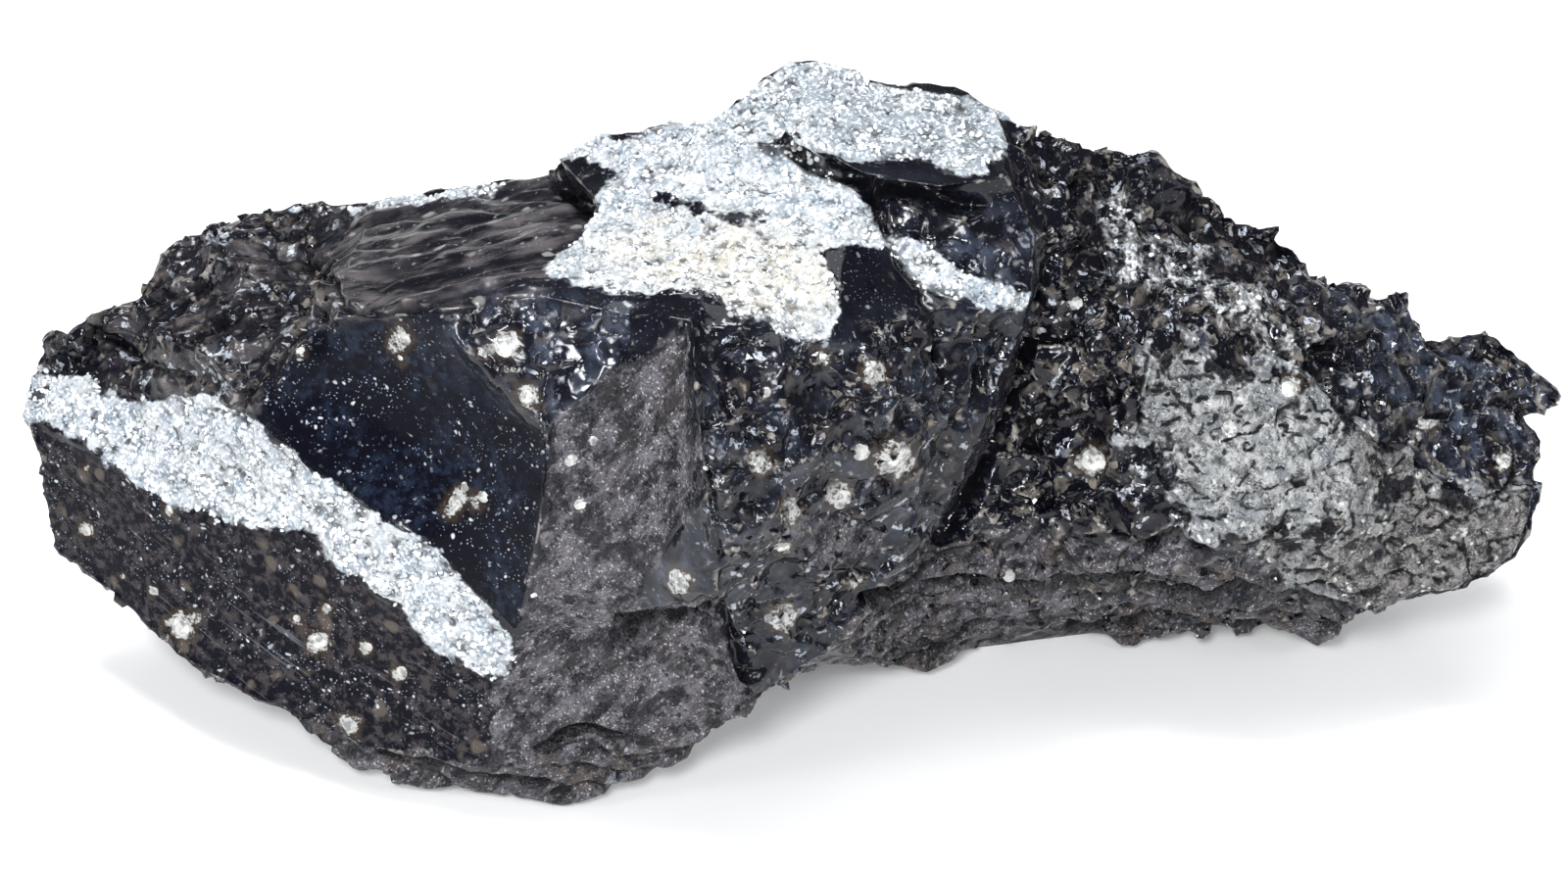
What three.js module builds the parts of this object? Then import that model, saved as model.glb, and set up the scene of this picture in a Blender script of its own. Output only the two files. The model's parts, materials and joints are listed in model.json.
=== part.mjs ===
// Obsidian specimen: one lump of black volcanic glass with pale flow bands, 180 mm long, lying on a small flat spot.
// Millimetres, +Z up. The side shown in the photograph faces -Y, and its left end points to -X.
//
// The lump is described as it broke: by its fracture faces. Each face is a border of named corner points, and a depth
// by which the fracture sinks in, or swells, between them. The faces are then cut into small facets and chipped.

import * as THREE from 'three';
import { ImprovedNoise } from 'three/addons/math/ImprovedNoise.js';

// Driving dimensions
const LENGTH = 180;
const FACET_EDGE = 4.3;
const FRACTURE_WAVE = 0.7;
const FRACTURE_WAVE_LENGTH = 17;
const BROAD_CHIP = 24;
const SMALL_CHIP = 9;
const MEAN_CHIP_DISTANCE = 0.55;
const FLOOR_GAP = 0.6;

// How the photograph looks at the specimen, in degrees, millimetres and pixels
const VIEW_ELEVATION = 38;
const VIEW_DISTANCE = 450;
const VIEW_TARGET_HEIGHT = 35;
const PHOTO_CENTRE = { column: 800, row: 445 };
const PHOTO_LENGTH = 1563;

// Corners that the photograph shows: pixel column, pixel row, and height above the table in millimetres
const SEEN = {
  // outline of the left end, upwards
  endLow: [52, 558, 17],
  endMid: [38, 475, 28],
  endBand: [22, 422, 33],
  endTop: [30, 382, 37],
  knobLeft: [40, 342, 42],
  knobTop: [76, 320, 45.5],
  // outline of the top, from left to right
  shoulderA: [133, 302, 46.5],
  shoulderB: [172, 255, 49.5],
  shoulderC: [205, 235, 51],
  backA: [300, 204, 53],
  backB: [378, 202, 54],
  backC: [470, 188, 57],
  backD: [560, 180, 59.5],
  lobeLeft: [566, 160, 65],
  lobeTop: [602, 138, 68],
  lobeRight: [660, 134, 69.3],
  saddle: [725, 118, 71],
  summitA: [755, 102, 74],
  summitB: [778, 76, 76],
  summitC: [805, 62, 77],
  summitD: [855, 63, 77],
  summitE: [905, 82, 74.6],
  summitF: [975, 85, 74],
  summitG: [1017, 112, 72.5],
  slopeA: [1045, 135, 70.5],
  slopeB: [1110, 148, 68],
  toothLeft: [1160, 158, 66],
  toothTop: [1187, 153, 66.8],
  toothRight: [1224, 197, 61],
  toothFoot: [1222, 215, 57.5],
  shellA: [1275, 222, 55],
  shellB: [1335, 250, 50],
  shellC: [1345, 277, 47.7],
  sawA: [1378, 281, 47],
  sawB: [1405, 302, 44],
  sawC: [1436, 302, 44],
  sawD: [1440, 320, 41.5],
  rumpA: [1475, 333, 40.5],
  rumpB: [1520, 332, 39.5],
  rumpC: [1556, 350, 37.5],
  // outline of the right end, downwards
  nose: [1585, 403, 34],
  noseUnder: [1562, 428, 31],
  rightA: [1573, 450, 30],
  rightB: [1572, 503, 26.5],
  rightC: [1548, 570, 20],
  rightD: [1495, 603, 18],
  heelA: [1385, 627, 14],
  heelB: [1345, 661, 1],
  // outline of the underside, from right to left
  bellyA: [1300, 645, 3],
  bellyB: [1200, 645, 3.5],
  bellyC: [1145, 662, 1],
  bellyD: [1105, 638, 4.5],
  bellyE: [1048, 627, 9],
  bellyF: [1000, 655, 4.5],
  bellyG: [945, 688, 2],
  bellyH: [900, 678, 4],
  lipA: [850, 660, 24],
  lipB: [810, 695, 20.5],
  lipC: [778, 716, 19],
  lipD: [745, 742, 14.7],
  footA: [690, 778, 5.5],
  footB: [640, 795, 4],
  footC: [573, 822, 1],
  footD: [460, 803, 2],
  footE: [400, 798, 2.3],
  footF: [340, 770, 5],
  hemA: [300, 735, 8.6],
  hemB: [250, 712, 10],
  hemC: [180, 672, 11.5],
  hemD: [110, 605, 15],
  // left block: both sides of the long pale band, and the rim of the great scar above it
  bandLowA: [100, 465, 33.6],
  bandLowB: [180, 520, 31],
  bandLowC: [310, 540, 35],
  bandLowD: [400, 615, 29],
  bandEnd: [505, 700, 19.5],
  bandHighA: [100, 400, 38.5],
  bandHighB: [170, 403, 42.5],
  bandHighC: [262, 430, 46.5],
  bandHighD: [330, 492, 41.5],
  bandHighE: [430, 550, 37],
  bandHighF: [525, 650, 27],
  rimA: [300, 352, 56.5],
  rimB: [345, 322, 61.5],
  rimC: [440, 318, 66],
  rimD: [490, 372, 61.5],
  rimE: [556, 438, 55.5],
  rimF: [558, 490, 49.5],
  rimG: [545, 565, 40.5],
  knobRight: [160, 340, 49.5],
  brownA: [215, 368, 50.5],
  brownB: [245, 258, 54.3],
  stepLowA: [338, 272, 57.5],
  stepLowB: [322, 335, 57],
  stepTopA: [352, 268, 60.5],
  silkEdge: [550, 302, 67.5],
  lobeFoot: [595, 262, 67],
  lobeNotch: [603, 222, 64],
  lobeEdge: [612, 205, 67.8],
  toeA: [375, 768, 6.5],
  toeB: [440, 780, 7.3],
  toeC: [500, 783, 8],
  // centre: the grey channel and the crest to the right of it
  nookTop: [640, 322, 67],
  nookLow: [635, 362, 63],
  channelTop: [590, 410, 58.7],
  crestA: [706, 322, 68.5],
  crestB: [710, 400, 65],
  crestC: [715, 470, 58],
  crestD: [720, 505, 53.5],
  crestE: [728, 540, 49],
  crestF: [738, 612, 39.5],
  crestG: [756, 700, 24],
  wedgeLow: [642, 628, 31.5],
  crackLow: [645, 641, 26],
  crackRight: [722, 626, 30],
  keelA: [635, 690, 21.5],
  keelB: [640, 757, 12],
  slotA: [585, 748, 12.5],
  slotB: [545, 772, 10.4],
  panelLow: [700, 762, 10.6],
  // centre: the glassy bulge, and the lip where it stands over the right block
  patchLowA: [800, 345, 65],
  patchLowB: [855, 335, 65.7],
  patchRight: [862, 250, 69],
  seamTop: [942, 318, 63.5],
  bulgeMid: [850, 440, 56.5],
  bulgeRight: [900, 530, 43],
  bulgeLow: [800, 560, 43.5],
  stepTop: [1060, 235, 66.5],
  stepA: [1052, 302, 61],
  stepB: [1028, 380, 53],
  stepC: [1000, 447, 46.5],
  stepD: [970, 510, 39.6],
  stepE: [940, 550, 35.3],
  stepF: [900, 600, 29.6],
  // top slab and the ledge below it
  ledgeStart: [740, 142, 73.5],
  ledgeTopA: [835, 150, 75.5],
  ledgeTopB: [882, 178, 74.5],
  ledgeTopC: [960, 190, 73.5],
  ledgeTopD: [1030, 180, 72.5],
  ledgeLowA: [832, 160, 73.2],
  ledgeLowB: [885, 193, 71.8],
  ledgeLowC: [960, 202, 70.8],
  ledgeLowD: [1035, 196, 70.2],
  // right block: the foot of the step, the hollow, the rough pale patch and the glassy end
  gapA: [1060, 310, 55],
  gapB: [1042, 385, 46],
  gapC: [1014, 455, 38],
  gapD: [984, 515, 31.5],
  gapE: [955, 556, 27],
  gapF: [915, 605, 22],
  toothInner: [1140, 180, 64],
  toothUnder: [1152, 215, 61],
  toothHeel: [1215, 232, 56.5],
  ridgeA: [1150, 262, 58.5],
  ridgeB: [1235, 290, 55],
  ridgeC: [1310, 325, 50],
  scoopTop: [1385, 345, 44.5],
  scoopLow: [1400, 430, 38.5],
  scoopLeft: [1340, 400, 43.5],
  rumpLow: [1475, 448, 33],
  endPatch: [1490, 505, 29],
  patchTop: [1180, 345, 53.5],
  patchLeftA: [1165, 430, 43.5],
  patchLeftB: [1200, 510, 35],
  patchFoot: [1235, 560, 29.5],
  patchCorner: [1370, 540, 30],
  hollowMid: [1110, 395, 48],
  hollowFoot: [1040, 530, 30],
  lumpTop: [1130, 500, 34.5],
  lumpFoot: [1150, 560, 27],
  ledgeA: [1000, 598, 19.5],
  ledgeB: [1120, 590, 21.5],
  ledgeC: [1205, 598, 20.5],
  ledgeD: [1300, 612, 18.5],
  ledgeE: [1400, 618, 17.5],
};

// Corners on the hidden side: X, Y and height in millimetres
const HIDDEN = {
  baseA: [-38, -15, 0],
  baseB: [-26, -22, 0],
  baseC: [-15, -13, 0],
  baseD: [3, 8, 0],
  baseE: [17, 1, 0],
  baseF: [38, 5, 0],
  baseG: [58, 8, 0],
  baseH: [55, 18, 0],
  baseI: [26, 25, 0],
  baseJ: [-10, 22, 0],
  baseK: [-32, 8, 0],
  lowA: [-64, 10, 14],
  lowB: [-36, 29, 10],
  lowC: [-6, 34, 6],
  lowD: [26, 31, 12],
  lowE: [52, 28, 6],
  lowF: [75, 12, 15],
  rearA: [-73, 19, 31],
  rearB: [-52, 30, 27],
  rearC: [-22, 38, 46],
  rearD: [13, 35, 37],
  rearE: [40, 37, 46],
  rearF: [60, 30, 23],
  rearG: [82, 20, 28],
};

// Fracture faces. sink is how far the middle lies below the border, in millimetres, and is negative where the face
// swells; chip is the depth of the small chips in it.
const FACES = {
  darkFace: {
    sink: 1,
    chip: 0.2,
    border: `endBand endMid endLow hemD hemC hemB hemA toeA toeB toeC bandEnd bandLowD bandLowC bandLowB bandLowA`,
  },
  paleBand: {
    sink: 0.5,
    chip: 0.3,
    border: `endTop bandHighA bandHighB bandHighC bandHighD bandHighE bandHighF bandEnd
      bandLowD bandLowC bandLowB bandLowA endBand`,
  },
  leftKnobs: {
    sink: 1.5,
    chip: 1.6,
    border: `endTop knobLeft knobTop shoulderA knobRight brownA bandHighC bandHighB bandHighA`,
  },
  shoulder: { sink: 1.5, chip: 0.8, border: `shoulderA shoulderB shoulderC brownB brownA knobRight` },
  leftTerrace: {
    sink: 2,
    chip: 0.9,
    border: `shoulderC backA backB stepLowA stepLowB rimA bandHighC brownA brownB`,
  },
  stepWall: { sink: 0.3, chip: 0.2, border: `backB stepTopA rimB stepLowB stepLowA` },
  silkTop: {
    sink: -1,
    chip: 0.4,
    border: `rimB rimC silkEdge lobeFoot lobeNotch backD backC backB stepTopA`,
  },
  lobeWall: { sink: 0.3, chip: 0.2, border: `backD lobeLeft lobeEdge lobeFoot lobeNotch` },
  greatScar: {
    sink: 5,
    chip: 0.1,
    border: `bandHighC rimA stepLowB rimB rimC rimD rimE rimF rimG bandHighF bandHighE bandHighD`,
  },
  blueFace: { sink: 1, chip: 0.3, border: `rimC silkEdge nookTop nookLow channelTop rimE rimD` },
  darkNook: { sink: 1, chip: 0.2, border: `nookTop crestA nookLow` },
  channelHigh: {
    sink: 4,
    chip: 0.3,
    border: `nookLow crestA crestB crestC crestD wedgeLow rimG rimF rimE channelTop`,
  },
  channelLow: {
    sink: 2,
    chip: 0.3,
    border: `rimG wedgeLow crackLow keelA keelB slotA slotB toeC bandEnd bandHighF`,
  },
  wedge: { sink: -1, chip: 0.4, border: `crestD crestE crestF wedgeLow` },
  crack: { sink: 0.5, chip: 0, border: `wedgeLow crestF crackRight crackLow` },
  lowerPanel: {
    sink: 1.2,
    chip: 0.3,
    border: `crackLow crackRight crestG lipC lipD panelLow keelB keelA`,
  },
  footFace: {
    sink: 0.5,
    chip: 0.6,
    border: `hemA footF footE footD footC footB footA lipD panelLow keelB slotA slotB toeC toeB toeA`,
  },
  bulgeUpper: {
    sink: 0.5,
    chip: 1.3,
    border: `crestA patchLowA patchLowB seamTop bulgeMid crestC crestB`,
  },
  bulgeMiddle: {
    sink: -1.5,
    chip: 2,
    border: `crestC bulgeMid bulgeRight bulgeLow crestF crestE crestD`,
  },
  bulgeSide: { sink: -1, chip: 1.8, border: `bulgeMid seamTop stepC stepD stepE bulgeRight` },
  bulgeFoot: {
    sink: 1,
    chip: 1.2,
    border: `bulgeLow bulgeRight stepE stepF lipA lipB lipC crestG crackRight crestF`,
  },
  seamStrip: { sink: 1, chip: 0.8, border: `seamTop stepA stepB stepC` },
  upperGlass: {
    sink: 1.5,
    chip: 0.8,
    border: `patchRight ledgeLowA ledgeLowB ledgeLowC ledgeLowD stepTop stepA seamTop patchLowB`,
  },
  palePatch: {
    sink: 0,
    chip: 0.5,
    border: `lobeLeft lobeTop lobeRight saddle ledgeStart ledgeLowA patchRight patchLowB patchLowA
      crestA nookTop silkEdge lobeFoot lobeEdge`,
  },
  topSlab: {
    sink: -0.5,
    chip: 0.5,
    border: `saddle summitA summitB summitC summitD summitE summitF summitG
      ledgeTopD ledgeTopC ledgeTopB ledgeTopA ledgeStart`,
  },
  slabEdge: {
    sink: 0.5,
    chip: 0.3,
    border: `ledgeStart ledgeTopA ledgeTopB ledgeTopC ledgeTopD ledgeLowD ledgeLowC ledgeLowB ledgeLowA`,
  },
  upperSlope: {
    sink: 1,
    chip: 1.6,
    border: `summitG slopeA slopeB toothLeft toothInner toothUnder ridgeA stepTop ledgeLowD ledgeTopD`,
  },
  tooth: {
    sink: 0.5,
    chip: 0.3,
    border: `toothInner toothLeft toothTop toothRight toothFoot toothHeel toothUnder`,
  },
  backSlope: {
    sink: 1,
    chip: 1.8,
    border: `toothUnder toothHeel toothFoot shellA shellB shellC sawA scoopTop ridgeC ridgeB ridgeA`,
  },
  glassScoop: { sink: 2.5, chip: 0.4, border: `ridgeC scoopTop scoopLow scoopLeft` },
  rump: {
    sink: -1,
    chip: 1.7,
    border: `scoopTop sawA sawB sawC sawD rumpA rumpB rumpC nose noseUnder rumpLow scoopLow`,
  },
  rightEnd: { sink: 0.5, chip: 1.2, border: `rumpLow noseUnder rightA rightB endPatch` },
  roughPatch: {
    sink: -1,
    chip: 0.5,
    border: `patchTop ridgeB ridgeC scoopLeft scoopLow patchCorner patchFoot patchLeftB patchLeftA`,
  },
  roughEnd: {
    sink: 0,
    chip: 0.8,
    border: `scoopLow rumpLow endPatch rightB rightC rightD heelA ledgeE ledgeD patchCorner`,
  },
  patchHem: { sink: 0.5, chip: 0.5, border: `patchFoot patchCorner ledgeD ledgeC` },
  hollowHigh: {
    sink: 1.5,
    chip: 1.6,
    border: `stepTop ridgeA ridgeB patchTop hollowMid gapB gapA`,
  },
  hollowLow: {
    sink: 2.5,
    chip: 1.6,
    border: `gapB hollowMid patchTop patchLeftA lumpTop hollowFoot gapD gapC`,
  },
  darkLump: { sink: -1.5, chip: 0.5, border: `patchLeftA patchLeftB patchFoot lumpFoot lumpTop` },
  ledges: {
    sink: 0.5,
    chip: 0.9,
    border: `gapD hollowFoot lumpTop lumpFoot patchFoot ledgeC ledgeB ledgeA gapF gapE`,
  },
  stepFace: {
    sink: 0,
    chip: 0,
    border: `stepTop gapA gapB gapC gapD gapE gapF bellyH lipA stepF stepE stepD stepC stepB stepA`,
  },
  bellyFront: {
    sink: 1.5,
    chip: 1,
    border: `gapF ledgeA ledgeB ledgeC ledgeD ledgeE heelA heelB
      bellyA bellyB bellyC bellyD bellyE bellyF bellyG bellyH`,
  },
  // underside
  restingFace: {
    flat: true,
    sink: 0,
    chip: 0,
    border: `baseK baseJ baseI baseH baseG baseF baseE baseD baseC baseB baseA`,
  },
  leftBelly: { sink: 3, chip: 1.2, border: `endLow hemD hemC hemB hemA footF baseA baseK lowA` },
  footBelly: { sink: 0.3, chip: 0.2, border: `footF footE footD footC footB footA baseC baseB baseA` },
  centreBelly: {
    sink: 2,
    chip: 1,
    border: `footA lipD lipC lipB lipA bellyH bellyG baseE baseD baseC`,
  },
  rightBelly: {
    sink: 0.3,
    chip: 0.2,
    border: `bellyG bellyF bellyE bellyD bellyC bellyB bellyA heelB baseG baseF baseE`,
  },
  heelBelly: { sink: 2, chip: 1.2, border: `heelB heelA rightD rightC lowF baseH baseG` },
  // back
  rightRear: { sink: 1, chip: 1.2, border: `rightC rightB rightA noseUnder nose rearG lowF` },
  leftRear: { sink: 1.5, chip: 1.2, border: `endLow lowA rearA knobTop knobLeft endTop endBand endMid` },
  rearLeft: { sink: 3, chip: 1.2, border: `knobTop shoulderA shoulderB shoulderC backA rearB rearA` },
  rearScar: {
    sink: 5,
    chip: 0.9,
    border: `backA backB backC backD lobeLeft lobeTop rearC lowC lowB rearB`,
  },
  rearTop: {
    sink: -2,
    chip: 1.6,
    border: `lobeTop lobeRight saddle summitA summitB summitC summitD rearD rearC`,
  },
  rearSummit: {
    sink: 3.5,
    chip: 1.2,
    border: `summitD summitE summitF summitG slopeA slopeB toothLeft toothTop rearE rearD`,
  },
  rearShell: {
    sink: 1.5,
    chip: 2,
    border: `toothTop toothRight toothFoot shellA shellB shellC sawA sawB sawC sawD
      rearF lowE lowD rearD rearE`,
  },
  rearRump: { sink: 1.5, chip: 1.6, border: `sawD rumpA rumpB rumpC nose rearG rearF` },
  rearLowLeft: { sink: -1, chip: 1.5, border: `lowA lowB rearB rearA` },
  rearLowTop: { sink: 3, chip: 1.3, border: `lowC lowD rearD rearC` },
  rearLowEnd: { sink: 1.5, chip: 1.2, border: `lowE lowF rearG rearF` },
  skirtA: { sink: 0.5, chip: 0.7, border: `lowA baseK lowB` },
  skirtB: { sink: 0.5, chip: 0.7, border: `baseK baseJ lowC lowB` },
  skirtC: { sink: 0.5, chip: 0.7, border: `baseJ baseI lowD lowC` },
  skirtD: { sink: 0.5, chip: 0.7, border: `baseI baseH lowE lowD` },
  skirtE: { sink: 0.5, chip: 0.7, border: `baseH lowF lowE` },
};

// Where the line of sight through a pixel of the photograph reaches a height above the table
function sightedPoint([column, row, height]) {
  const elevation = THREE.MathUtils.degToRad(VIEW_ELEVATION);
  const toCamera = new THREE.Vector3(0, -Math.cos(elevation), Math.sin(elevation));
  const photoUp = new THREE.Vector3(0, Math.sin(elevation), Math.cos(elevation));
  const camera = new THREE.Vector3(0, 0, VIEW_TARGET_HEIGHT).addScaledVector(toCamera, VIEW_DISTANCE);
  const focalLength = (PHOTO_LENGTH / LENGTH) * VIEW_DISTANCE;
  const sight = toCamera.negate().addScaledVector(photoUp, (PHOTO_CENTRE.row - row) / focalLength);
  sight.x = (column - PHOTO_CENTRE.column) / focalLength;
  return camera.addScaledVector(sight, (height - camera.z) / sight.z);
}

// The corner points, numbered, with the place of each name
function cornerPoints() {
  const points = [];
  const numberOf = new Map();
  for (const [name, corner] of Object.entries(SEEN)) {
    numberOf.set(name, points.push(sightedPoint(corner)) - 1);
  }
  for (const [name, corner] of Object.entries(HIDDEN)) {
    numberOf.set(name, points.push(new THREE.Vector3(...corner)) - 1);
  }
  return { points, numberOf };
}

// A face's average normal, from its border
function borderNormal(points, border) {
  const normal = new THREE.Vector3();
  border.forEach((corner, i) => {
    const next = border[(i + 1) % border.length];
    normal.add(new THREE.Vector3().crossVectors(points[corner], points[next]));
  });
  return normal.normalize();
}

// A face's border as triangles, cut in the plane that lies nearest to it
function cutFace(points, border) {
  const normal = borderNormal(points, border);
  const toPlane = new THREE.Quaternion().setFromUnitVectors(normal, new THREE.Vector3(0, 0, 1));
  const outline = border.map((corner) => {
    const flat = points[corner].clone().applyQuaternion(toPlane);
    return new THREE.Vector2(flat.x, flat.y);
  });
  return THREE.ShapeUtils.triangulateShape(outline, []).map((corners) => corners.map((c) => border[c]));
}

// Turns each border the same way round as its neighbours, starting from a face that looks outwards
function orientBorders(borders, outwardName) {
  const walks = new Map();
  for (const [name, border] of Object.entries(borders)) {
    border.forEach((corner, i) => {
      const next = border[(i + 1) % border.length];
      const key = Math.min(corner, next) + '-' + Math.max(corner, next);
      walks.set(key, [...(walks.get(key) ?? []), { name, forward: corner < next }]);
    });
  }
  const turned = new Map([[outwardName, false]]);
  const waiting = [outwardName];
  while (waiting.length) {
    const name = waiting.pop();
    for (const sides of walks.values()) {
      const own = sides.find((side) => side.name === name);
      const other = sides.find((side) => side.name !== name);
      if (!own || !other || turned.has(other.name)) continue;
      turned.set(other.name, (own.forward === other.forward) !== turned.get(name));
      waiting.push(other.name);
    }
  }
  for (const [name, isTurned] of turned) {
    if (isTurned) borders[name].reverse();
  }
}

// The lump before it is refined: every face cut into a few large triangles, each with its face's name
function roughLump() {
  const { points, numberOf } = cornerPoints();
  const borders = {};
  for (const [name, face] of Object.entries(FACES)) {
    borders[name] = face.border.trim().split(/\s+/).map((corner) => numberOf.get(corner));
  }
  orientBorders(borders, 'restingFace');
  const triangles = [];
  for (const [face, border] of Object.entries(borders)) {
    for (const corners of cutFace(points, border)) triangles.push({ corners, face });
  }
  return { points, triangles };
}

const edgeKey = (a, b) => (a < b ? a + '-' + b : b + '-' + a);

// Halves every edge that is longer than the limit
function splitLongEdges({ points, triangles }, limit) {
  const middles = new Map();
  const middleOf = (a, b) => {
    if (points[a].distanceTo(points[b]) <= limit) return null;
    const key = edgeKey(a, b);
    if (!middles.has(key)) middles.set(key, points.push(points[a].clone().lerp(points[b], 0.5)) - 1);
    return middles.get(key);
  };
  const made = [];
  for (const { corners, face } of triangles) {
    const split = corners.map((corner, i) => middleOf(corner, corners[(i + 1) % 3]));
    const add = (...list) => made.push({ corners: list, face });
    const count = split.filter((middle) => middle !== null).length;
    if (count === 0) add(...corners);
    if (count === 1) {
      const i = split.findIndex((middle) => middle !== null);
      const [a, b, c] = [corners[i], corners[(i + 1) % 3], corners[(i + 2) % 3]];
      add(a, split[i], c);
      add(split[i], b, c);
    }
    if (count === 2) {
      const i = (split.findIndex((middle) => middle === null) + 1) % 3;
      const [a, b, c] = [corners[i], corners[(i + 1) % 3], corners[(i + 2) % 3]];
      const [ab, bc] = [split[i], split[(i + 1) % 3]];
      add(ab, b, bc);
      add(a, ab, c);
      add(ab, bc, c);
    }
    if (count === 3) {
      const [a, b, c] = corners;
      const [ab, bc, ca] = split;
      add(a, ab, ca);
      add(ab, b, bc);
      add(ca, bc, c);
      add(ab, bc, ca);
    }
  }
  return { points, triangles: made };
}

// The triangles on each side of every edge
function edgeSides(triangles) {
  const sides = new Map();
  triangles.forEach(({ corners }, t) => {
    corners.forEach((corner, i) => {
      const key = edgeKey(corner, corners[(i + 1) % 3]);
      if (!sides.has(key)) sides.set(key, []);
      sides.get(key).push({ t, opposite: corners[(i + 2) % 3], from: corner, to: corners[(i + 1) % 3] });
    });
  });
  return sides;
}

function angleAt(points, apex, a, b) {
  const toA = points[a].clone().sub(points[apex]);
  return toA.angleTo(points[b].clone().sub(points[apex]));
}

function triangleNormal(points, [a, b, c]) {
  const ab = points[b].clone().sub(points[a]);
  return ab.cross(points[c].clone().sub(points[a])).normalize();
}

// Swaps the diagonal of two thin neighbours inside one face, where that makes them rounder
function swapDiagonals({ points, triangles }) {
  const sides = edgeSides(triangles);
  const touched = new Set();
  for (const [one, other] of [...sides.values()]) {
    if (!other || triangles[one.t].face !== triangles[other.t].face) continue;
    if (touched.has(one.t) || touched.has(other.t)) continue;
    const sum = angleAt(points, one.opposite, one.from, one.to) + angleAt(points, other.opposite, one.from, one.to);
    if (sum <= Math.PI + 0.01 || sides.has(edgeKey(one.opposite, other.opposite))) continue;
    const first = [one.opposite, one.from, other.opposite];
    const second = [one.opposite, other.opposite, one.to];
    const before = triangleNormal(points, triangles[one.t].corners);
    if (triangleNormal(points, first).dot(before) < 0.2 || triangleNormal(points, second).dot(before) < 0.2) continue;
    triangles[one.t].corners = first;
    triangles[other.t].corners = second;
    touched.add(one.t).add(other.t);
  }
}

// Neighbours of each point, and whether it lies on the border of its face
function neighbourhoods({ points, triangles }) {
  const around = points.map(() => new Set());
  const onBorder = points.map(() => false);
  for (const sides of edgeSides(triangles).values()) {
    const { from, to } = sides[0];
    around[from].add(to);
    around[to].add(from);
    if (triangles[sides[0].t].face !== triangles[sides[1].t].face) {
      onBorder[from] = true;
      onBorder[to] = true;
    }
  }
  return { around, onBorder };
}

// Draws the points inside each face towards their neighbours, so that a face is one smooth sweep between its borders
function relax(lump, rounds) {
  const { around, onBorder } = neighbourhoods(lump);
  for (let round = 0; round < rounds; round += 1) {
    lump.points.forEach((point, i) => {
      if (onBorder[i]) return;
      const middle = new THREE.Vector3();
      for (const j of around[i]) middle.add(lump.points[j]);
      point.lerp(middle.divideScalar(around[i].size), 0.5);
    });
  }
}

// Cuts the faces into facets of about the wanted size, coarse ones first
function refine(lump) {
  const coarsest = 64;
  let refined = lump;
  for (let limit = coarsest; limit > FACET_EDGE; limit /= 1.6) {
    refined = splitLongEdges(refined, limit);
    for (let round = 0; round < 6; round += 1) {
      swapDiagonals(refined);
      relax(refined, 1);
    }
  }
  refined = splitLongEdges(refined, FACET_EDGE);
  for (let round = 0; round < 10; round += 1) {
    swapDiagonals(refined);
    relax(refined, 2);
  }
  return refined;
}

// How deep each point lies inside its face: 0 on the border and 1 in the middle, rounded like a struck scar
function faceDepths(lump) {
  const rounds = 400;
  const { around, onBorder } = neighbourhoods(lump);
  const depth = lump.points.map(() => 0);
  for (let round = 0; round < rounds; round += 1) {
    depth.forEach((_, i) => {
      if (onBorder[i]) return;
      let sum = 0;
      for (const j of around[i]) sum += depth[j];
      depth[i] = sum / around[i].size + 1;
    });
  }
  const deepest = {};
  for (const { corners, face } of lump.triangles) {
    for (const corner of corners) deepest[face] = Math.max(deepest[face] ?? 1, depth[corner]);
  }
  return { depth, deepest };
}

// The mean normal of each point, and the faces that meet there
function pointNormals({ points, triangles }) {
  const normals = points.map(() => new THREE.Vector3());
  const faces = points.map(() => new Set());
  for (const { corners, face } of triangles) {
    const [a, b, c] = corners.map((corner) => points[corner]);
    const area = b.clone().sub(a).cross(c.clone().sub(a));
    for (const corner of corners) {
      normals[corner].add(area);
      faces[corner].add(face);
    }
  }
  return { normals: normals.map((normal) => normal.normalize()), faces };
}

// Repeatable number from 0 to 1 for a whole-numbered place
function scatter(x, y, z, seed) {
  const mixed = Math.sin(x * 127.1 + y * 311.7 + z * 74.7 + seed * 53.3) * 43758.5453;
  return mixed - Math.floor(mixed);
}

// How far a place lies from the nearest of a set of scattered chip centres, in chip widths. Chips meet in sharp ridges.
function chipDistance(place, width) {
  const [x, y, z] = place.toArray().map((value) => value / width);
  let nearest = 9;
  for (let i = Math.floor(x) - 1; i <= Math.floor(x) + 1; i += 1) {
    for (let j = Math.floor(y) - 1; j <= Math.floor(y) + 1; j += 1) {
      for (let k = Math.floor(z) - 1; k <= Math.floor(z) + 1; k += 1) {
        const centre = [i + scatter(i, j, k, 1), j + scatter(i, j, k, 2), k + scatter(i, j, k, 3)];
        nearest = Math.min(nearest, Math.hypot(x - centre[0], y - centre[1], z - centre[2]));
      }
    }
  }
  return nearest - MEAN_CHIP_DISTANCE;
}

// Sinks each face by its depth, then breaks it up with slow waves and with broad and small chips
function carve(lump) {
  const { depth, deepest } = faceDepths(lump);
  const { normals, faces } = pointNormals(lump);
  const noise = new ImprovedNoise();
  lump.points.forEach((point, i) => {
    const names = [...faces[i]];
    if (names.some((name) => FACES[name].flat)) return;
    const sink = names.length === 1 ? (FACES[names[0]].sink * depth[i]) / deepest[names[0]] : 0;
    const chips = names.map((name) => FACES[name].chip);
    const chip = (Math.min(...chips) + Math.max(...chips)) / 2;
    const [x, y, z] = point.toArray().map((value) => value / FRACTURE_WAVE_LENGTH);
    const wave = noise.noise(x, y, z) * FRACTURE_WAVE * Math.min(1, chip * 2);
    const broad = chipDistance(point, BROAD_CHIP) * chip * 1.5;
    const small = chipDistance(point, SMALL_CHIP) * chip * 1.8;
    point.addScaledVector(normals[i], wave + broad + small - sink);
    point.z = Math.max(point.z, FLOOR_GAP);
  });
}

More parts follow.
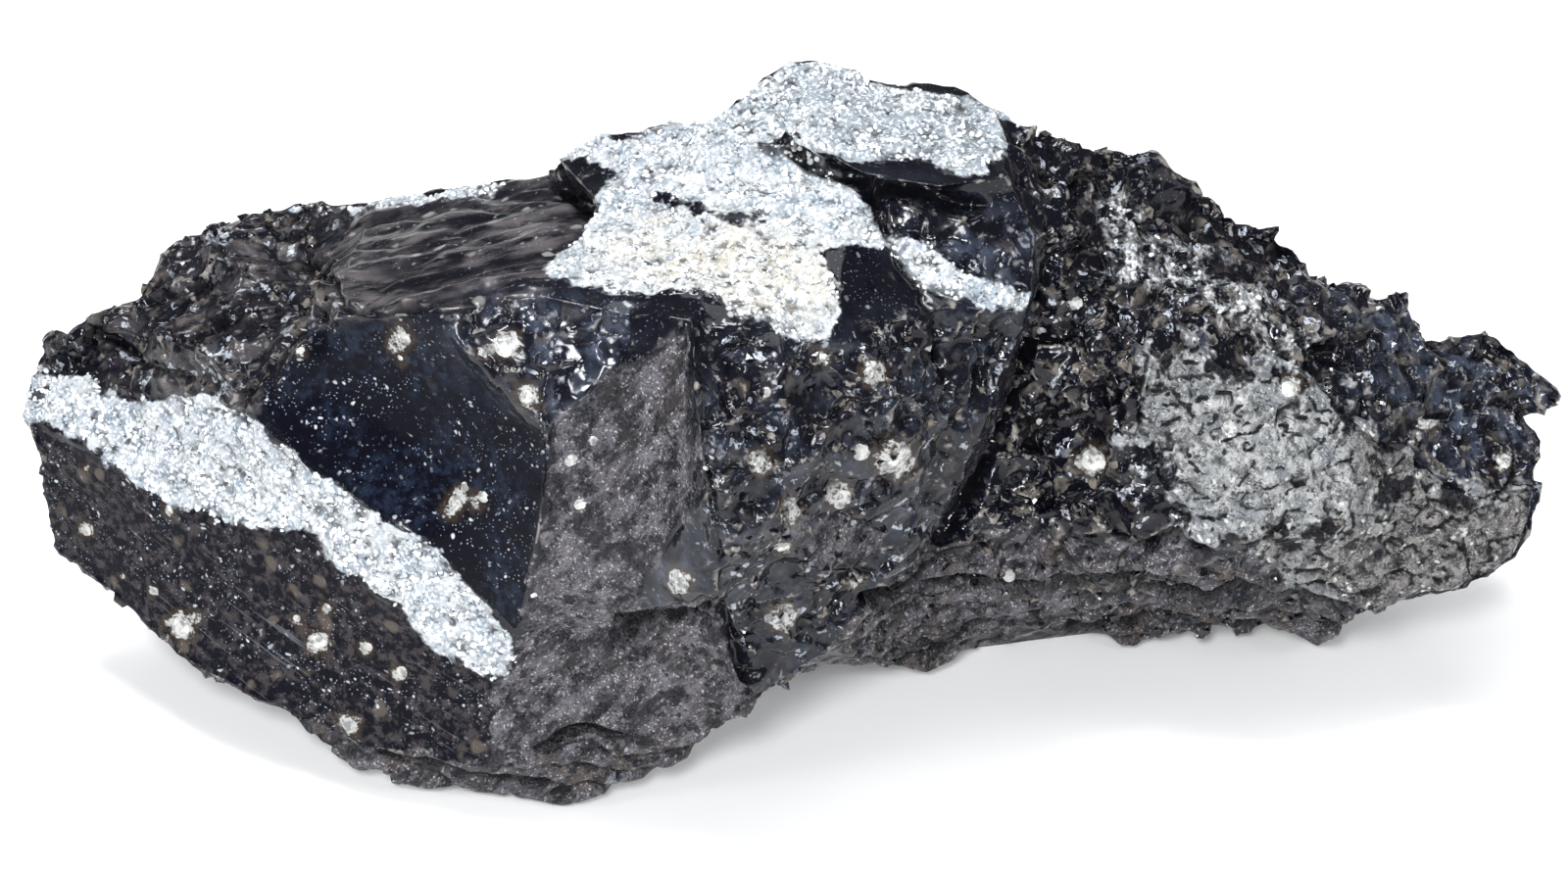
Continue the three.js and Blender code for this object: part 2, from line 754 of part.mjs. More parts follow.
// The solid's surface, moved so that its resting face lies on the table below the middle of the specimen
function specimenGeometry() {
  const lump = refine(roughLump());
  carve(lump);
  const geometry = new THREE.BufferGeometry().setFromPoints(lump.points);
  geometry.setIndex(lump.triangles.flatMap(({ corners }) => corners));
  geometry.computeBoundingBox();
  const middle = geometry.boundingBox.getCenter(new THREE.Vector3());
  geometry.translate(-middle.x, -middle.y, 0);
  geometry.computeVertexNormals();
  return geometry;
}

function obsidian() {
  const blackGlass = new THREE.MeshStandardMaterial({ color: 0x17171c, roughness: 0.3, metalness: 0 });
  const specimen = new THREE.Mesh(specimenGeometry(), blackGlass);
  specimen.name = 'obsidian_specimen';
  return specimen;
}

const part = new THREE.Group();
part.add(obsidian());

export default part;
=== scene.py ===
"""Obsidian specimen: the broken, banded surface of the stone, its spherulites, grains and splinters, and a plain stage."""

import json
import math

import bmesh
import bpy
import numpy as np
from bpy.props import FloatProperty, FloatVectorProperty, IntProperty, PointerProperty
from mathutils import Matrix, Vector
from mathutils.bvhtree import BVHTree

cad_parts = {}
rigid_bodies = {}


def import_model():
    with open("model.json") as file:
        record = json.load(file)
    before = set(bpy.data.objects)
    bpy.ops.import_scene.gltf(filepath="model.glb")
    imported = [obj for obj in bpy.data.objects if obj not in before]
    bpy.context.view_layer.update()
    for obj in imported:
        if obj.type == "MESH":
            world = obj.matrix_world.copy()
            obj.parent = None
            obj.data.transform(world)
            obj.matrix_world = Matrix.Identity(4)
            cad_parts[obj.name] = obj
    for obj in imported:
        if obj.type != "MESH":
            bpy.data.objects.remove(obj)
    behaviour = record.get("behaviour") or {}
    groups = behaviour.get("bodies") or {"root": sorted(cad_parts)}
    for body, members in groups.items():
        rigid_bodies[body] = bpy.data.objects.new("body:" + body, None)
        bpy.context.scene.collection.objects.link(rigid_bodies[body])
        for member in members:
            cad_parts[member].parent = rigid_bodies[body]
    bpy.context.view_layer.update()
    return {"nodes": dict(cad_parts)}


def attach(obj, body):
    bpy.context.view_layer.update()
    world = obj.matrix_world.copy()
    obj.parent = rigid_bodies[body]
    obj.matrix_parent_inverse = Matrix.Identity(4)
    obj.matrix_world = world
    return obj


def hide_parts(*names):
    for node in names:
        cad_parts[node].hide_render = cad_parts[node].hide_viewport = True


bl_info = {
    "name": "Obsidian specimen",
    "version": (1, 0, 0),
    "blender": (4, 5, 0),
    "location": "3D View > Sidebar > Obsidian",
    "description": "Builds the looks of a lump of banded volcanic glass around its solid",
    "category": "Add Mesh",
}

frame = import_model()

MM = 0.001
STONE = "obsidian_specimen"
STONE_PIECES = ["stone_scars", "stone_left", "stone_middle", "stone_right", "stone_end"]

# How the photograph looks at the stone
PHOTO_WIDTH = 1600
PHOTO_HEIGHT = 890
VIEW_ELEVATION = math.radians(38)
VIEW_DISTANCE = 0.45
VIEW_TARGET = Vector((-1.047, -1.297, 35)) * MM
PIXELS_PER_METRE = 1563 / 0.18
SENSOR_WIDTH = 36

# What the photograph shows where, as outlines in its pixels: column, row
OUTLINES = {
    "long_band": [
        (15, 372), (40, 376), (60, 380), (80, 382), (100, 388), (105, 400), (130, 408), (160, 407), (215, 405),
        (230, 412), (245, 425), (262, 432), (285, 455), (300, 462), (310, 475), (325, 487), (340, 490), (350, 495),
        (365, 510), (385, 522), (395, 540), (410, 548), (425, 545), (437, 555), (455, 575), (470, 590), (490, 612),
        (510, 635), (530, 662), (514, 698), (485, 685), (450, 662), (430, 645), (420, 630), (400, 615), (365, 592),
        (345, 575), (330, 560), (318, 545), (305, 538), (290, 540), (240, 535), (215, 532), (200, 522), (180, 517),
        (165, 512), (150, 500), (135, 487), (118, 477), (100, 463), (80, 445), (62, 437), (50, 432), (15, 418),
    ],
    "middle_patch": [
        (560, 120), (600, 100), (740, 90), (760, 148), (800, 150), (815, 150), (835, 160), (848, 175), (870, 195),
        (885, 205), (895, 232), (905, 240), (930, 243), (950, 250), (960, 265), (980, 275), (1000, 288),
        (1030, 292), (1052, 300), (1046, 318), (1000, 310), (950, 298), (935, 285), (920, 265), (905, 255),
        (890, 250), (842, 250), (838, 262), (845, 275), (853, 285), (860, 315), (862, 325), (840, 342), (820, 352),
        (795, 338), (760, 328), (745, 315), (735, 305), (720, 298), (680, 297), (650, 300), (620, 298), (590, 290),
        (560, 280), (555, 270), (575, 255), (595, 245), (607, 220), (612, 200), (622, 185), (640, 178), (622, 172),
        (590, 164), (560, 160),
    ],
    "top_patch": [
        (725, 110), (760, 60), (850, 30), (960, 50), (1005, 92), (1028, 118), (1033, 140), (1025, 155), (1005, 175),
        (980, 178), (940, 160), (900, 165), (840, 155), (800, 143), (760, 146), (735, 146),
    ],
    "dark_pocket": [
        (622, 192), (655, 196), (680, 186), (694, 197), (716, 194), (738, 206), (760, 205), (790, 216), (812, 228),
        (806, 240), (772, 232), (748, 240), (722, 228), (700, 232), (684, 216), (664, 214), (640, 206),
    ],
    "cap_rim": [(608, 142), (640, 128), (672, 118), (708, 114), (702, 128), (660, 135), (625, 145)],
    "slab_rim": [
        (925, 88), (960, 80), (1000, 92), (1030, 122), (1042, 150), (1030, 152), (1014, 116), (985, 101), (950, 97),
    ],
    "cream_core": [
        (690, 235), (740, 222), (800, 235), (850, 262), (858, 300), (820, 335), (760, 320), (700, 290), (650, 292),
        (600, 270), (610, 240),
    ],
    "grey_patch": [
        (1180, 365), (1170, 400), (1160, 430), (1175, 460), (1185, 490), (1200, 510), (1215, 530), (1240, 545),
        (1280, 555), (1330, 550), (1400, 548), (1425, 500), (1393, 445), (1370, 420), (1335, 400), (1303, 385),
        (1250, 375), (1215, 345),
    ],
    "speckled_end": [
        (1385, 440), (1440, 470), (1480, 500), (1530, 500), (1590, 500), (1568, 560), (1545, 590), (1500, 610),
        (1415, 635), (1384, 627), (1330, 605), (1290, 560), (1400, 545), (1420, 500),
    ],
    "pale_streak": [
        (1120, 195), (1150, 205), (1165, 245), (1225, 270), (1295, 305), (1335, 345), (1325, 362), (1270, 330),
        (1215, 300), (1150, 275), (1130, 240),
    ],
    "channel": [
        (700, 330), (690, 350), (665, 362), (635, 368), (605, 400), (565, 435), (560, 470), (556, 530), (545, 590),
        (535, 640), (520, 690), (505, 735), (500, 785), (540, 782), (585, 750), (640, 757), (640, 700), (645, 640),
        (655, 600), (680, 550), (705, 520), (716, 480), (706, 430), (704, 380),
    ],
    "wedge_glass": [(650, 612), (662, 580), (690, 556), (712, 545), (724, 575), (722, 606), (690, 622)],
    "flat_patch": [(818, 545), (850, 532), (885, 535), (900, 548), (893, 568), (860, 575), (825, 570)],
    "lower_panel": [
        (645, 638), (725, 622), (740, 650), (765, 715), (745, 745), (700, 765), (640, 757), (638, 700),
    ],
    "foot": [
        (285, 723), (320, 740), (345, 750), (375, 768), (395, 772), (420, 768), (460, 778), (500, 783), (540, 778),
        (585, 752), (640, 757), (700, 765), (750, 745), (720, 775), (690, 790), (640, 805), (575, 830), (460, 818),
        (400, 805), (340, 770), (280, 735),
    ],
    "ledges": [
        (935, 560), (1000, 545), (1060, 540), (1130, 562), (1200, 560), (1260, 565), (1340, 560), (1400, 600),
        (1400, 640), (1350, 670), (1200, 650), (1140, 670), (1050, 635), (1000, 665), (940, 695), (880, 685),
        (855, 655), (900, 600),
    ],
    "silk": [
        (345, 195), (560, 175), (600, 220), (595, 262), (545, 300), (440, 315), (345, 322), (338, 270),
    ],
    "left_rough": [
        (30, 315), (135, 290), (205, 220), (340, 195), (345, 325), (300, 352), (262, 400), (245, 425), (160, 407),
        (60, 380), (25, 372),
    ],
    "bulge": [
        (715, 320), (800, 345), (850, 342), (940, 320), (1050, 300), (1030, 380), (1000, 450), (950, 545),
        (900, 600), (858, 650), (800, 705), (770, 712), (740, 630), (720, 520), (712, 420),
    ],
    "right_rough": [
        (1060, 235), (1030, 120), (1110, 140), (1190, 145), (1235, 195), (1345, 245), (1440, 300), (1520, 325),
        (1595, 403), (1580, 427), (1590, 500), (1480, 500), (1400, 430), (1340, 400), (1215, 345), (1180, 365),
        (1160, 430), (1185, 490), (1240, 545), (1200, 560), (1100, 560), (940, 600), (985, 520), (1040, 385),
    ],
    "great_scar": [
        (262, 405), (280, 390), (290, 370), (300, 355), (318, 335), (330, 325), (345, 323), (380, 328), (400, 325),
        (440, 315), (455, 320), (465, 345), (480, 370), (497, 395), (520, 420), (555, 440), (560, 460), (557, 490),
        (550, 530), (545, 560), (540, 590), (530, 650), (470, 590), (425, 545), (385, 522), (300, 462),
    ],
    "dark_face": [
        (20, 430), (100, 465), (180, 520), (310, 542), (400, 615), (510, 700), (500, 783), (395, 772), (285, 723),
        (180, 680), (90, 590), (40, 560),
    ],
    "blue_face": [
        (455, 320), (500, 300), (640, 318), (635, 365), (600, 400), (560, 432), (520, 415), (480, 370),
    ],
    "upper_glass": [
        (893, 195), (970, 200), (1010, 210), (1030, 225), (1058, 260), (1055, 290), (1030, 292), (980, 275),
        (950, 250), (905, 240),
    ],
    "ribs": [
        (930, 330), (1055, 300), (1040, 375), (1005, 450), (950, 545), (925, 520), (900, 440), (905, 380),
    ],
    "far_rim": [
        (276, 214), (300, 202), (345, 199), (400, 196), (470, 186), (520, 184), (500, 198), (440, 206), (380, 213),
        (330, 218),
    ],
    "tooth": [(1142, 172), (1165, 158), (1195, 148), (1226, 190), (1222, 218), (1190, 232), (1158, 205)],
    "navy_glass": [
        (1345, 290), (1440, 320), (1515, 337), (1585, 403), (1580, 500), (1480, 500), (1400, 440), (1385, 345),
    ],
}

# Cracks and undercuts, cut into the relief and darkened with painted shade: half their width in pixels, and the line of
# each
CREVICES = [
    (7, [(636, 634), (660, 633), (690, 628), (718, 617)]),
    (3, [(722, 480), (733, 560), (740, 640), (758, 680), (790, 700)]),
    (5, [(800, 150), (840, 172), (895, 190), (960, 203), (1005, 208)]),
    (5, [(540, 768), (575, 749), (600, 745), (640, 757)]),
    (4, [(380, 770), (440, 786), (500, 796), (560, 800)]),
    (7, [(880, 612), (935, 600), (1000, 594), (1060, 602), (1130, 590), (1200, 603), (1260, 600), (1330, 615), (1390, 628)]),
    (5, [(1090, 645), (1180, 627), (1290, 642)]),
    (4, [(566, 168), (578, 195), (602, 218)]),
    (4, [(1060, 300), (1046, 370), (1020, 440), (985, 512), (950, 552)]),
    (3, [(1170, 690), (1190, 670), (1205, 655), (1230, 668)]),
    (4, [(1130, 540), (1165, 560), (1200, 545), (1230, 565)]),
    (3, [(340, 285), (350, 310), (380, 322), (440, 312)]),
    (3, [(230, 250), (262, 268), (290, 300), (340, 330)]),
    (3, [(890, 200), (905, 240), (935, 285), (955, 330), (965, 400)]),
    (3, [(60, 335), (110, 345), (150, 372), (200, 385)]),
]

# Spherulites and other pale spots that the photograph shows: column, row, radius in pixels
SPHERULITES = [
    (307, 357, 7), (412, 345, 12), (515, 353, 14), (490, 362, 8), (537, 405, 12), (420, 369, 4), (447, 386, 4),
    (474, 497, 8), (464, 513, 10), (493, 507, 8), (89, 541, 8), (90, 478, 5), (172, 520, 6), (126, 588, 4),
    (158, 603, 6), (185, 640, 14), (202, 630, 5), (303, 631, 6), (334, 620, 7), (376, 607, 4), (410, 685, 8),
    (357, 740, 11), (375, 660, 8), (325, 655, 12), (782, 400, 7), (757, 392, 5), (838, 365, 10), (890, 380, 12),
    (605, 450, 7), (583, 470, 8), (592, 515, 8), (567, 547, 5), (605, 595, 5), (694, 592, 13), (775, 470, 12),
    (805, 520, 14), (860, 510, 13), (917, 470, 20), (800, 560, 9), (870, 590, 9), (800, 630, 14), (1115, 470, 16),
    (1060, 430, 6), (1255, 438, 12), (1315, 397, 12), (1453, 432, 8), (1533, 473, 9), (1493, 460, 3),
]

# Pale layers where the stone is hidden from the photograph: a point, a direction across the layer, half its
# thickness, and its reach along X, all in millimetres
HIDDEN_BANDS = [
    ((-88, 5, 34), (0.23, 0.15, 0.95), 4.5, (-95, -20)),
    ((0, 22, 66), (-0.12, -0.35, 0.93), 7.5, (-26, 32)),
    ((30, 30, 26), (0.30, 0.25, 0.92), 4.0, (2, 75)),
]


class ObsidianStone(bpy.types.PropertyGroup):
    """Sizes and colours of the stone's surface."""

    chip_depth: FloatProperty(
        name="Chip depth", description="Depth of the shell-shaped chips in rough glass", default=2.2 * MM, unit="LENGTH"
    )
    chip_size: FloatProperty(
        name="Chip size", description="Width of the larger chips in rough glass", default=6.5 * MM, unit="LENGTH"
    )
    ripple_depth: FloatProperty(
        name="Ripple depth", description="Height of the ripples in the smooth scars", default=0.012 * MM, unit="LENGTH"
    )
    groove_depth: FloatProperty(
        name="Groove depth", description="Depth of the silky flow grooves on the top", default=0.9 * MM, unit="LENGTH"
    )
    grain_depth: FloatProperty(
        name="Grain depth", description="Roughness of the pale sugary bands", default=0.95 * MM, unit="LENGTH"
    )
    bed_depth: FloatProperty(
        name="Bed depth", description="How far the thin beds of the ledges stand out", default=1.5 * MM, unit="LENGTH"
    )
    glass: FloatVectorProperty(
        name="Glass", description="Black glass", subtype="COLOR", size=3, default=(0.003, 0.003, 0.006)
    )
    blue_glass: FloatVectorProperty(
        name="Blue glass", description="Glass with a blue-grey sheen", subtype="COLOR", size=3,
        default=(0.046, 0.057, 0.084),
    )
    thin_edge: FloatVectorProperty(
        name="Thin edge", description="Brown-grey of thin glass", subtype="COLOR", size=3, default=(0.150, 0.130, 0.110)
    )
    crust: FloatVectorProperty(
        name="Crust", description="Matt grey-brown surface", subtype="COLOR", size=3, default=(0.128, 0.120, 0.134)
    )
    pale: FloatVectorProperty(
        name="Pale band", description="Sugary white bands", subtype="COLOR", size=3, default=(0.40, 0.42, 0.438)
    )
    cream: FloatVectorProperty(
        name="Cream", description="Warm stains in the pale bands", subtype="COLOR", size=3, default=(0.52, 0.47, 0.38)
    )
    blue_grey: FloatVectorProperty(
        name="Blue-grey", description="Bluish glassy areas in the pale bands", subtype="COLOR", size=3,
        default=(0.22, 0.26, 0.30),
    )
    grey_green: FloatVectorProperty(
        name="Grey-green", description="Pitted patch of the right block", subtype="COLOR", size=3,
        default=(0.41, 0.412, 0.405),
    )


class ObsidianPieces(bpy.types.PropertyGroup):
    """Numbers and colours of what sits on the stone."""

    hidden_spherulites: IntProperty(
        name="Hidden spherulites", description="Spherulites where the photograph doesn't show the stone", default=90, min=0
    )
    grain_count: IntProperty(name="Grains", description="Sugary grains on the pale bands", default=7000, min=0)
    splinter_count: IntProperty(name="Splinters", description="Small glass flakes on rough glass", default=1500, min=0)
    spherulite_colour: FloatVectorProperty(
        name="Spherulite", description="Pale grey spherulites", subtype="COLOR", size=3, default=(0.34, 0.34, 0.325)
    )


class ObsidianStage(bpy.types.PropertyGroup):
    """Floor and light."""

    floor_colour: FloatVectorProperty(
        name="Floor", description="Plain pale floor", subtype="COLOR", size=3, default=(0.92, 0.91, 0.89)
    )
    overhead_power: FloatProperty(
        name="Overhead light", description="Soft light above the stone", default=4.0, unit="POWER"
    )
    ceiling_power: FloatProperty(
        name="Ceiling", description="Wide dim light that gives the glass its sheen", default=4.0, unit="POWER"
    )
    side_power: FloatProperty(
        name="Side light", description="Small soft light at the left", default=0.8, unit="POWER"
    )
    front_power: FloatProperty(
        name="Front light", description="Two small soft lights near the camera", default=2.8, unit="POWER"
    )


# Arithmetic on many points at once


def unit(vectors):
    return vectors / np.maximum(np.linalg.norm(vectors, axis=-1, keepdims=True), 1e-12)


def smooth_step(low, high, values):
    t = np.clip((values - low) / (high - low), 0, 1)
    return t * t * (3 - 2 * t)


def scatter(cell, seed):
    """Repeatable number from 0 to 1 for each whole-numbered cell."""
    mixed = cell.astype(np.int64) + 4096
    value = mixed[..., 0] * 374761393 + mixed[..., 1] * 668265263 + mixed[..., 2] * 1440662683 + seed * 1013904223
    value &= 0xFFFFFFFF
    value = ((value ^ (value >> 13)) * 1274126177) & 0xFFFFFFFF
    value = ((value ^ (value >> 15)) * 668265263) & 0xFFFFFFFF
    return (value ^ (value >> 16)) / 2**32


def soft_noise(points, size, seed=0):
    """Smooth noise from -1 to 1 whose bumps are about size wide."""
    place = points / size
    cell = np.floor(place)
    t = place - cell
    t = t * t * (3 - 2 * t)
    total = np.zeros(len(points))
    for corner in np.ndindex(2, 2, 2):
        share = np.prod(np.where(corner, t, 1 - t), axis=1)
        total += share * scatter(cell + corner, seed)
    return total * 2 - 1


def layered_noise(points, size, layers, seed=0):
    total = sum(soft_noise(points, size / 2**i, seed + i) / 2**i for i in range(layers))
    return total / (2 - 2 / 2**layers)


def chipped(points, size, seed=0, slant=0.9):
    """Shell-shaped hollows of uneven depth and slant that meet in sharp ridges: -0.5 in a hollow, 0.6 on a ridge."""
    place = points / size
    cell = np.floor(place)
    lowest = np.full(len(points), 9.0)
    for offset in np.ndindex(3, 3, 3):
        neighbour = cell + np.array(offset) - 1
        middle, lean = (np.stack([scatter(neighbour, seed + k + 3 * part) for k in range(3)], 1) for part in (0, 1))
        away = place - neighbour - middle
        depth = (away**2).sum(1) + slant * (away * (lean - 0.5)).sum(1) + 0.3 * scatter(neighbour, seed + 7)
        lowest = np.minimum(lowest, depth)
    return np.minimum(lowest, 1.3) * 1.2 - 0.55


def shattered(points, size, seed=0):
    """Broken blocks that lean each their own way and meet in steps: about -0.6 to 0.6."""
    place = points / size
    cell = np.floor(place)
    nearest = np.full(len(points), 9.0)
    height = np.zeros(len(points))
    for offset in np.ndindex(3, 3, 3):
        neighbour = cell + np.array(offset) - 1
        middle, lean = (np.stack([scatter(neighbour, seed + k + 3 * part) for k in range(3)], 1) for part in (0, 1))
        away = place - neighbour - middle
        distance = (away**2).sum(1)
        closer = distance < nearest
        block = 1.7 * (away * (lean - 0.5)).sum(1) + 0.7 * (scatter(neighbour, seed + 7) - 0.5)
        nearest, height = np.where(closer, distance, nearest), np.where(closer, block, height)
    return height


def warped(points, amount, size, seed):
    shift = [soft_noise(points, size, seed + k) for k in range(3)]
    return points + amount * np.stack(shift, axis=1)


# The photograph's camera


def camera_axes():
    backwards = Vector((0, -math.cos(VIEW_ELEVATION), math.sin(VIEW_ELEVATION)))
    upwards = Vector((0, math.sin(VIEW_ELEVATION), math.cos(VIEW_ELEVATION)))
    return Vector((1, 0, 0)), upwards, backwards


def camera_place():
    return VIEW_TARGET + camera_axes()[2] * VIEW_DISTANCE


def to_photo(points):
    """Column and row of the photograph's pixel in which each point shows."""
    sideways, upwards, backwards = (np.array(axis) for axis in camera_axes())
    seen = points - np.array(camera_place())
    scale = PIXELS_PER_METRE * VIEW_DISTANCE / -(seen @ backwards)
    return np.stack([PHOTO_WIDTH / 2 + seen @ sideways * scale, PHOTO_HEIGHT / 2 - seen @ upwards * scale], axis=1)


def sight_line(column, row):
    sideways, upwards, backwards = camera_axes()
    focal = PIXELS_PER_METRE * VIEW_DISTANCE
    across, up = (column - PHOTO_WIDTH / 2) / focal, (PHOTO_HEIGHT / 2 - row) / focal
    return (sideways * across + upwards * up - backwards).normalized()


def distance_to_line(places, start, end):
    along = end - start
    t = np.clip((places - start) @ along / (along @ along), 0, 1)
    return np.linalg.norm(places - start - t[:, None] * along, axis=1)


def depth_inside(places, outline):
    """Distance of each place to an outline, in metres on the stone: positive inside and negative outside."""
    corners = np.array(outline, float)
    nearest = np.full(len(places), 1e9)
    inside = np.zeros(len(places), bool)
    for start, end in zip(corners, np.roll(corners, -1, axis=0)):
        nearest = np.minimum(nearest, distance_to_line(places, start, end))
        crosses = (start[1] > places[:, 1]) != (end[1] > places[:, 1])
        rise = end[1] - start[1] or 1e-9
        inside ^= crosses & (places[:, 0] < start[0] + (places[:, 1] - start[1]) / rise * (end[0] - start[0]))
    return np.where(inside, nearest, -nearest) / PIXELS_PER_METRE


def crevice_share(places):
    """1 in the middle of a crevice, 0 beside it."""
    share = np.zeros(len(places))
    for width, line in CREVICES:
        corners = np.array(line, float)
        for start, end in zip(corners, corners[1:]):
            share = np.maximum(share, 1 - distance_to_line(places, start, end) / (width * 1.4))
    return share


def spherulite_halo(places):
    """1 at a spherulite's middle, 0.5 at its rim and 0 at twice its radius."""
    share = np.zeros(len(places))
    for column, row, radius in SPHERULITES:
        share = np.maximum(share, 1 - np.hypot(places[:, 0] - column, places[:, 1] - row) / (2 * radius))
    return share


# The stone's mesh as arrays


class Surface:
    """Points, triangles and neighbours of a triangle mesh."""

    def __init__(self, mesh):
        self.points = np.empty(len(mesh.vertices) * 3)
        mesh.vertices.foreach_get("co", self.points)
        self.points = self.points.reshape(-1, 3)
        self.triangles = np.empty(len(mesh.polygons) * 3, np.int64)
        mesh.polygons.foreach_get("vertices", self.triangles)
        self.triangles = self.triangles.reshape(-1, 3)
        self.edges = np.empty(len(mesh.edges) * 2, np.int64)
        mesh.edges.foreach_get("vertices", self.edges)
        self.edges = self.edges.reshape(-1, 2)
        self.edge_count = np.bincount(self.edges.ravel(), minlength=len(self.points))

    def neighbour_mean(self, values):
        flat = values.reshape(len(values), -1)
        a, b = self.edges.T
        columns = [
            np.bincount(a, column[b], len(flat)) + np.bincount(b, column[a], len(flat)) for column in flat.T
        ]
        return (np.stack(columns, axis=1) / self.edge_count[:, None]).reshape(values.shape)

    def spread(self, values, rounds):
        for _ in range(rounds):
            values = (values + self.neighbour_mean(values)) / 2
        return values

    def face_normals(self):
        a, b, c = (self.points[self.triangles[:, k]] for k in range(3))
        return np.cross(b - a, c - a)

    def normals(self):
        total = np.zeros_like(self.points)
        area = self.face_normals()
        for k in range(3):
            for axis in range(3):
                total[:, axis] += np.bincount(self.triangles[:, k], area[:, axis], len(total))
        return unit(total)

    def creased_points(self, angle):
        """The points on edges where two triangles meet at more than the angle."""
        pair = np.sort(np.concatenate([self.triangles[:, [0, 1]], self.triangles[:, [1, 2]], self.triangles[:, [2, 0]]]))
        owner = np.tile(np.arange(len(self.triangles)), 3)
        order = np.lexsort((pair[:, 1], pair[:, 0]))
        pair, owner = pair[order], owner[order]
        normal = unit(self.face_normals())
        bend = (normal[owner[0::2]] * normal[owner[1::2]]).sum(1) < math.cos(angle)
        creased = np.zeros(len(self.points), bool)
        creased[pair[0::2][bend].ravel()] = True
        return creased

    def tree(self):
        return BVHTree.FromPolygons(self.points.tolist(), self.triangles.tolist())


def seen_points(surface, normals):
    """Which points the photograph shows."""
    camera = np.array(camera_place())
    towards = unit(camera - surface.points)
    seen = (normals * towards).sum(1) > 0.02
    tree = surface.tree()
    starts = surface.points + normals * 0.3 * MM
    for i in np.nonzero(seen)[0]:
        seen[i] = tree.ray_cast(Vector(starts[i]), Vector(towards[i]))[0] is None
    return seen


def hidden_band_depth(points):
    deepest = np.full(len(points), -1.0)
    wavy = warped(points, 2.2 * MM, 16 * MM, 31)
    for middle, across, half, reach in HIDDEN_BANDS:
        direction = np.array(Vector(across).normalized())
        offset = (wavy - np.array(middle) * MM) @ direction
        within = np.minimum(wavy[:, 0] - reach[0] * MM, reach[1] * MM - wavy[:, 0])
        thickness = half * MM * (0.75 + 0.6 * soft_noise(points, 14 * MM, 33))
        deepest = np.maximum(deepest, np.minimum(thickness - np.abs(offset), 0.25 * within))
    return deepest


def warped_places(places, points):
    """The pixels, shifted a little, so that a crevice doesn't run straight."""
    return places + 5 * np.stack([layered_noise(points, 5 * MM, 3, seed) for seed in (71, 81)], axis=1)


def region_depths(surface, normals):
    """For each outline, how deep each point lies inside it. Where the stone is hidden, every depth is far outside."""
    seen = seen_points(surface, normals)
    places = to_photo(surface.points)
    far = -20 * MM
    depths = {}
    for name, outline in OUTLINES.items():
        depth = np.where(seen, depth_inside(places, outline), far)
        depths[name] = np.clip(depth, far, 20 * MM)
    crevices = np.where(seen, crevice_share(warped_places(places, surface.points)), 0)
    halo = np.where(seen, spherulite_halo(places), 0)
    return depths, seen, crevices, halo


def describe_surface(surface):
    """What covers each point: depths inside the pale, grey and matt areas, and shares of the ways it broke."""
    normals = surface.normals()
    inside, seen, crevices, halo = region_depths(surface, normals)
    points = surface.points
    hidden = ~seen
    broad = layered_noise(points, 30 * MM, 3, 11)

    def share(name, width=1.5 * MM):
        return smooth_step(-width, width, inside[name])

    pale = np.maximum.reduce([inside[name] for name in ("long_band", "middle_patch", "top_patch", "far_rim")])
    for dark, margin in (("dark_pocket", 0.9), ("cap_rim", 0), ("slab_rim", 0)):
        pale = np.minimum(pale, (margin * MM - inside[dark]) * 1.5)
    pale = np.where(hidden, hidden_band_depth(points), pale)
    grey = np.where(hidden, -20 * MM, np.maximum(inside["grey_patch"], inside["speckled_end"]))
    underside = smooth_step(-0.15, -0.5, normals[:, 2])
    hidden_crust = (np.maximum(underside * 1.2, broad + 0.25) - 0.55) * 12 * MM
    crust = np.maximum.reduce([inside[name] for name in ("channel", "lower_panel", "foot", "ledges", "flat_patch")])
    crust = np.minimum(crust, -inside["wedge_glass"])
    crust = np.where(hidden, hidden_crust, crust)
    rough = np.maximum.reduce([
        share("bulge") * 0.75, share("right_rough"), share("left_rough") * 0.8, share("navy_glass") * 0.85,
        share("upper_glass") * 0.45, share("blue_face") * 0.35, share("pale_streak"), share("foot") * 0.5, share("ledges") * 0.7,
        np.where(hidden, smooth_step(-0.35, 0.35, broad) * 0.75 + 0.1, 0),
    ])
    smooth = np.maximum.reduce([share("great_scar"), share("dark_face"), share("tooth") * 0.9])
    cover = {
        "pale": pale / MM,
        "streak": np.where(hidden, -20, inside["pale_streak"] / MM),
        "grey": grey / MM,
        "speckled": np.where(hidden, -20, inside["speckled_end"] / MM),
        "crust": crust / MM,
        "rough": rough * (1 - smooth * 0.9),
        "silk": np.maximum(share("silk"), share("left_rough") * 0.5),
        "beds": np.maximum(share("ledges", 3 * MM), np.maximum(share("foot"), underside * hidden * 0.6)),
        "blue": np.maximum.reduce([
            share("blue_face", 4 * MM), share("navy_glass", 5 * MM), share("upper_glass", 4 * MM),
            share("bulge", 4 * MM) * 0.4, share("wedge_glass"), hidden * smooth_step(-0.1, -0.4, broad),
        ]),
        "scar": share("great_scar"),
        "face": share("dark_face"),
        "channel": share("channel"),
        "bulge": share("bulge", 3 * MM),
        "even": np.maximum.reduce([inside[name] for name in ("great_scar", "dark_face", "blue_face", "upper_glass")]) / MM,
        "seen": seen,
        "cool": np.where(hidden, 0.5, share("top_patch", 3 * MM)),
        "warm": share("cream_core", 4 * MM),
        "gap": crevices,
        "halo": halo,
        "left": share("left_rough", 3 * MM),
        "ribs": share("ribs", 2.5 * MM),
    }
    return {name: surface.spread(values.astype(float), 2) for name, values in cover.items()}


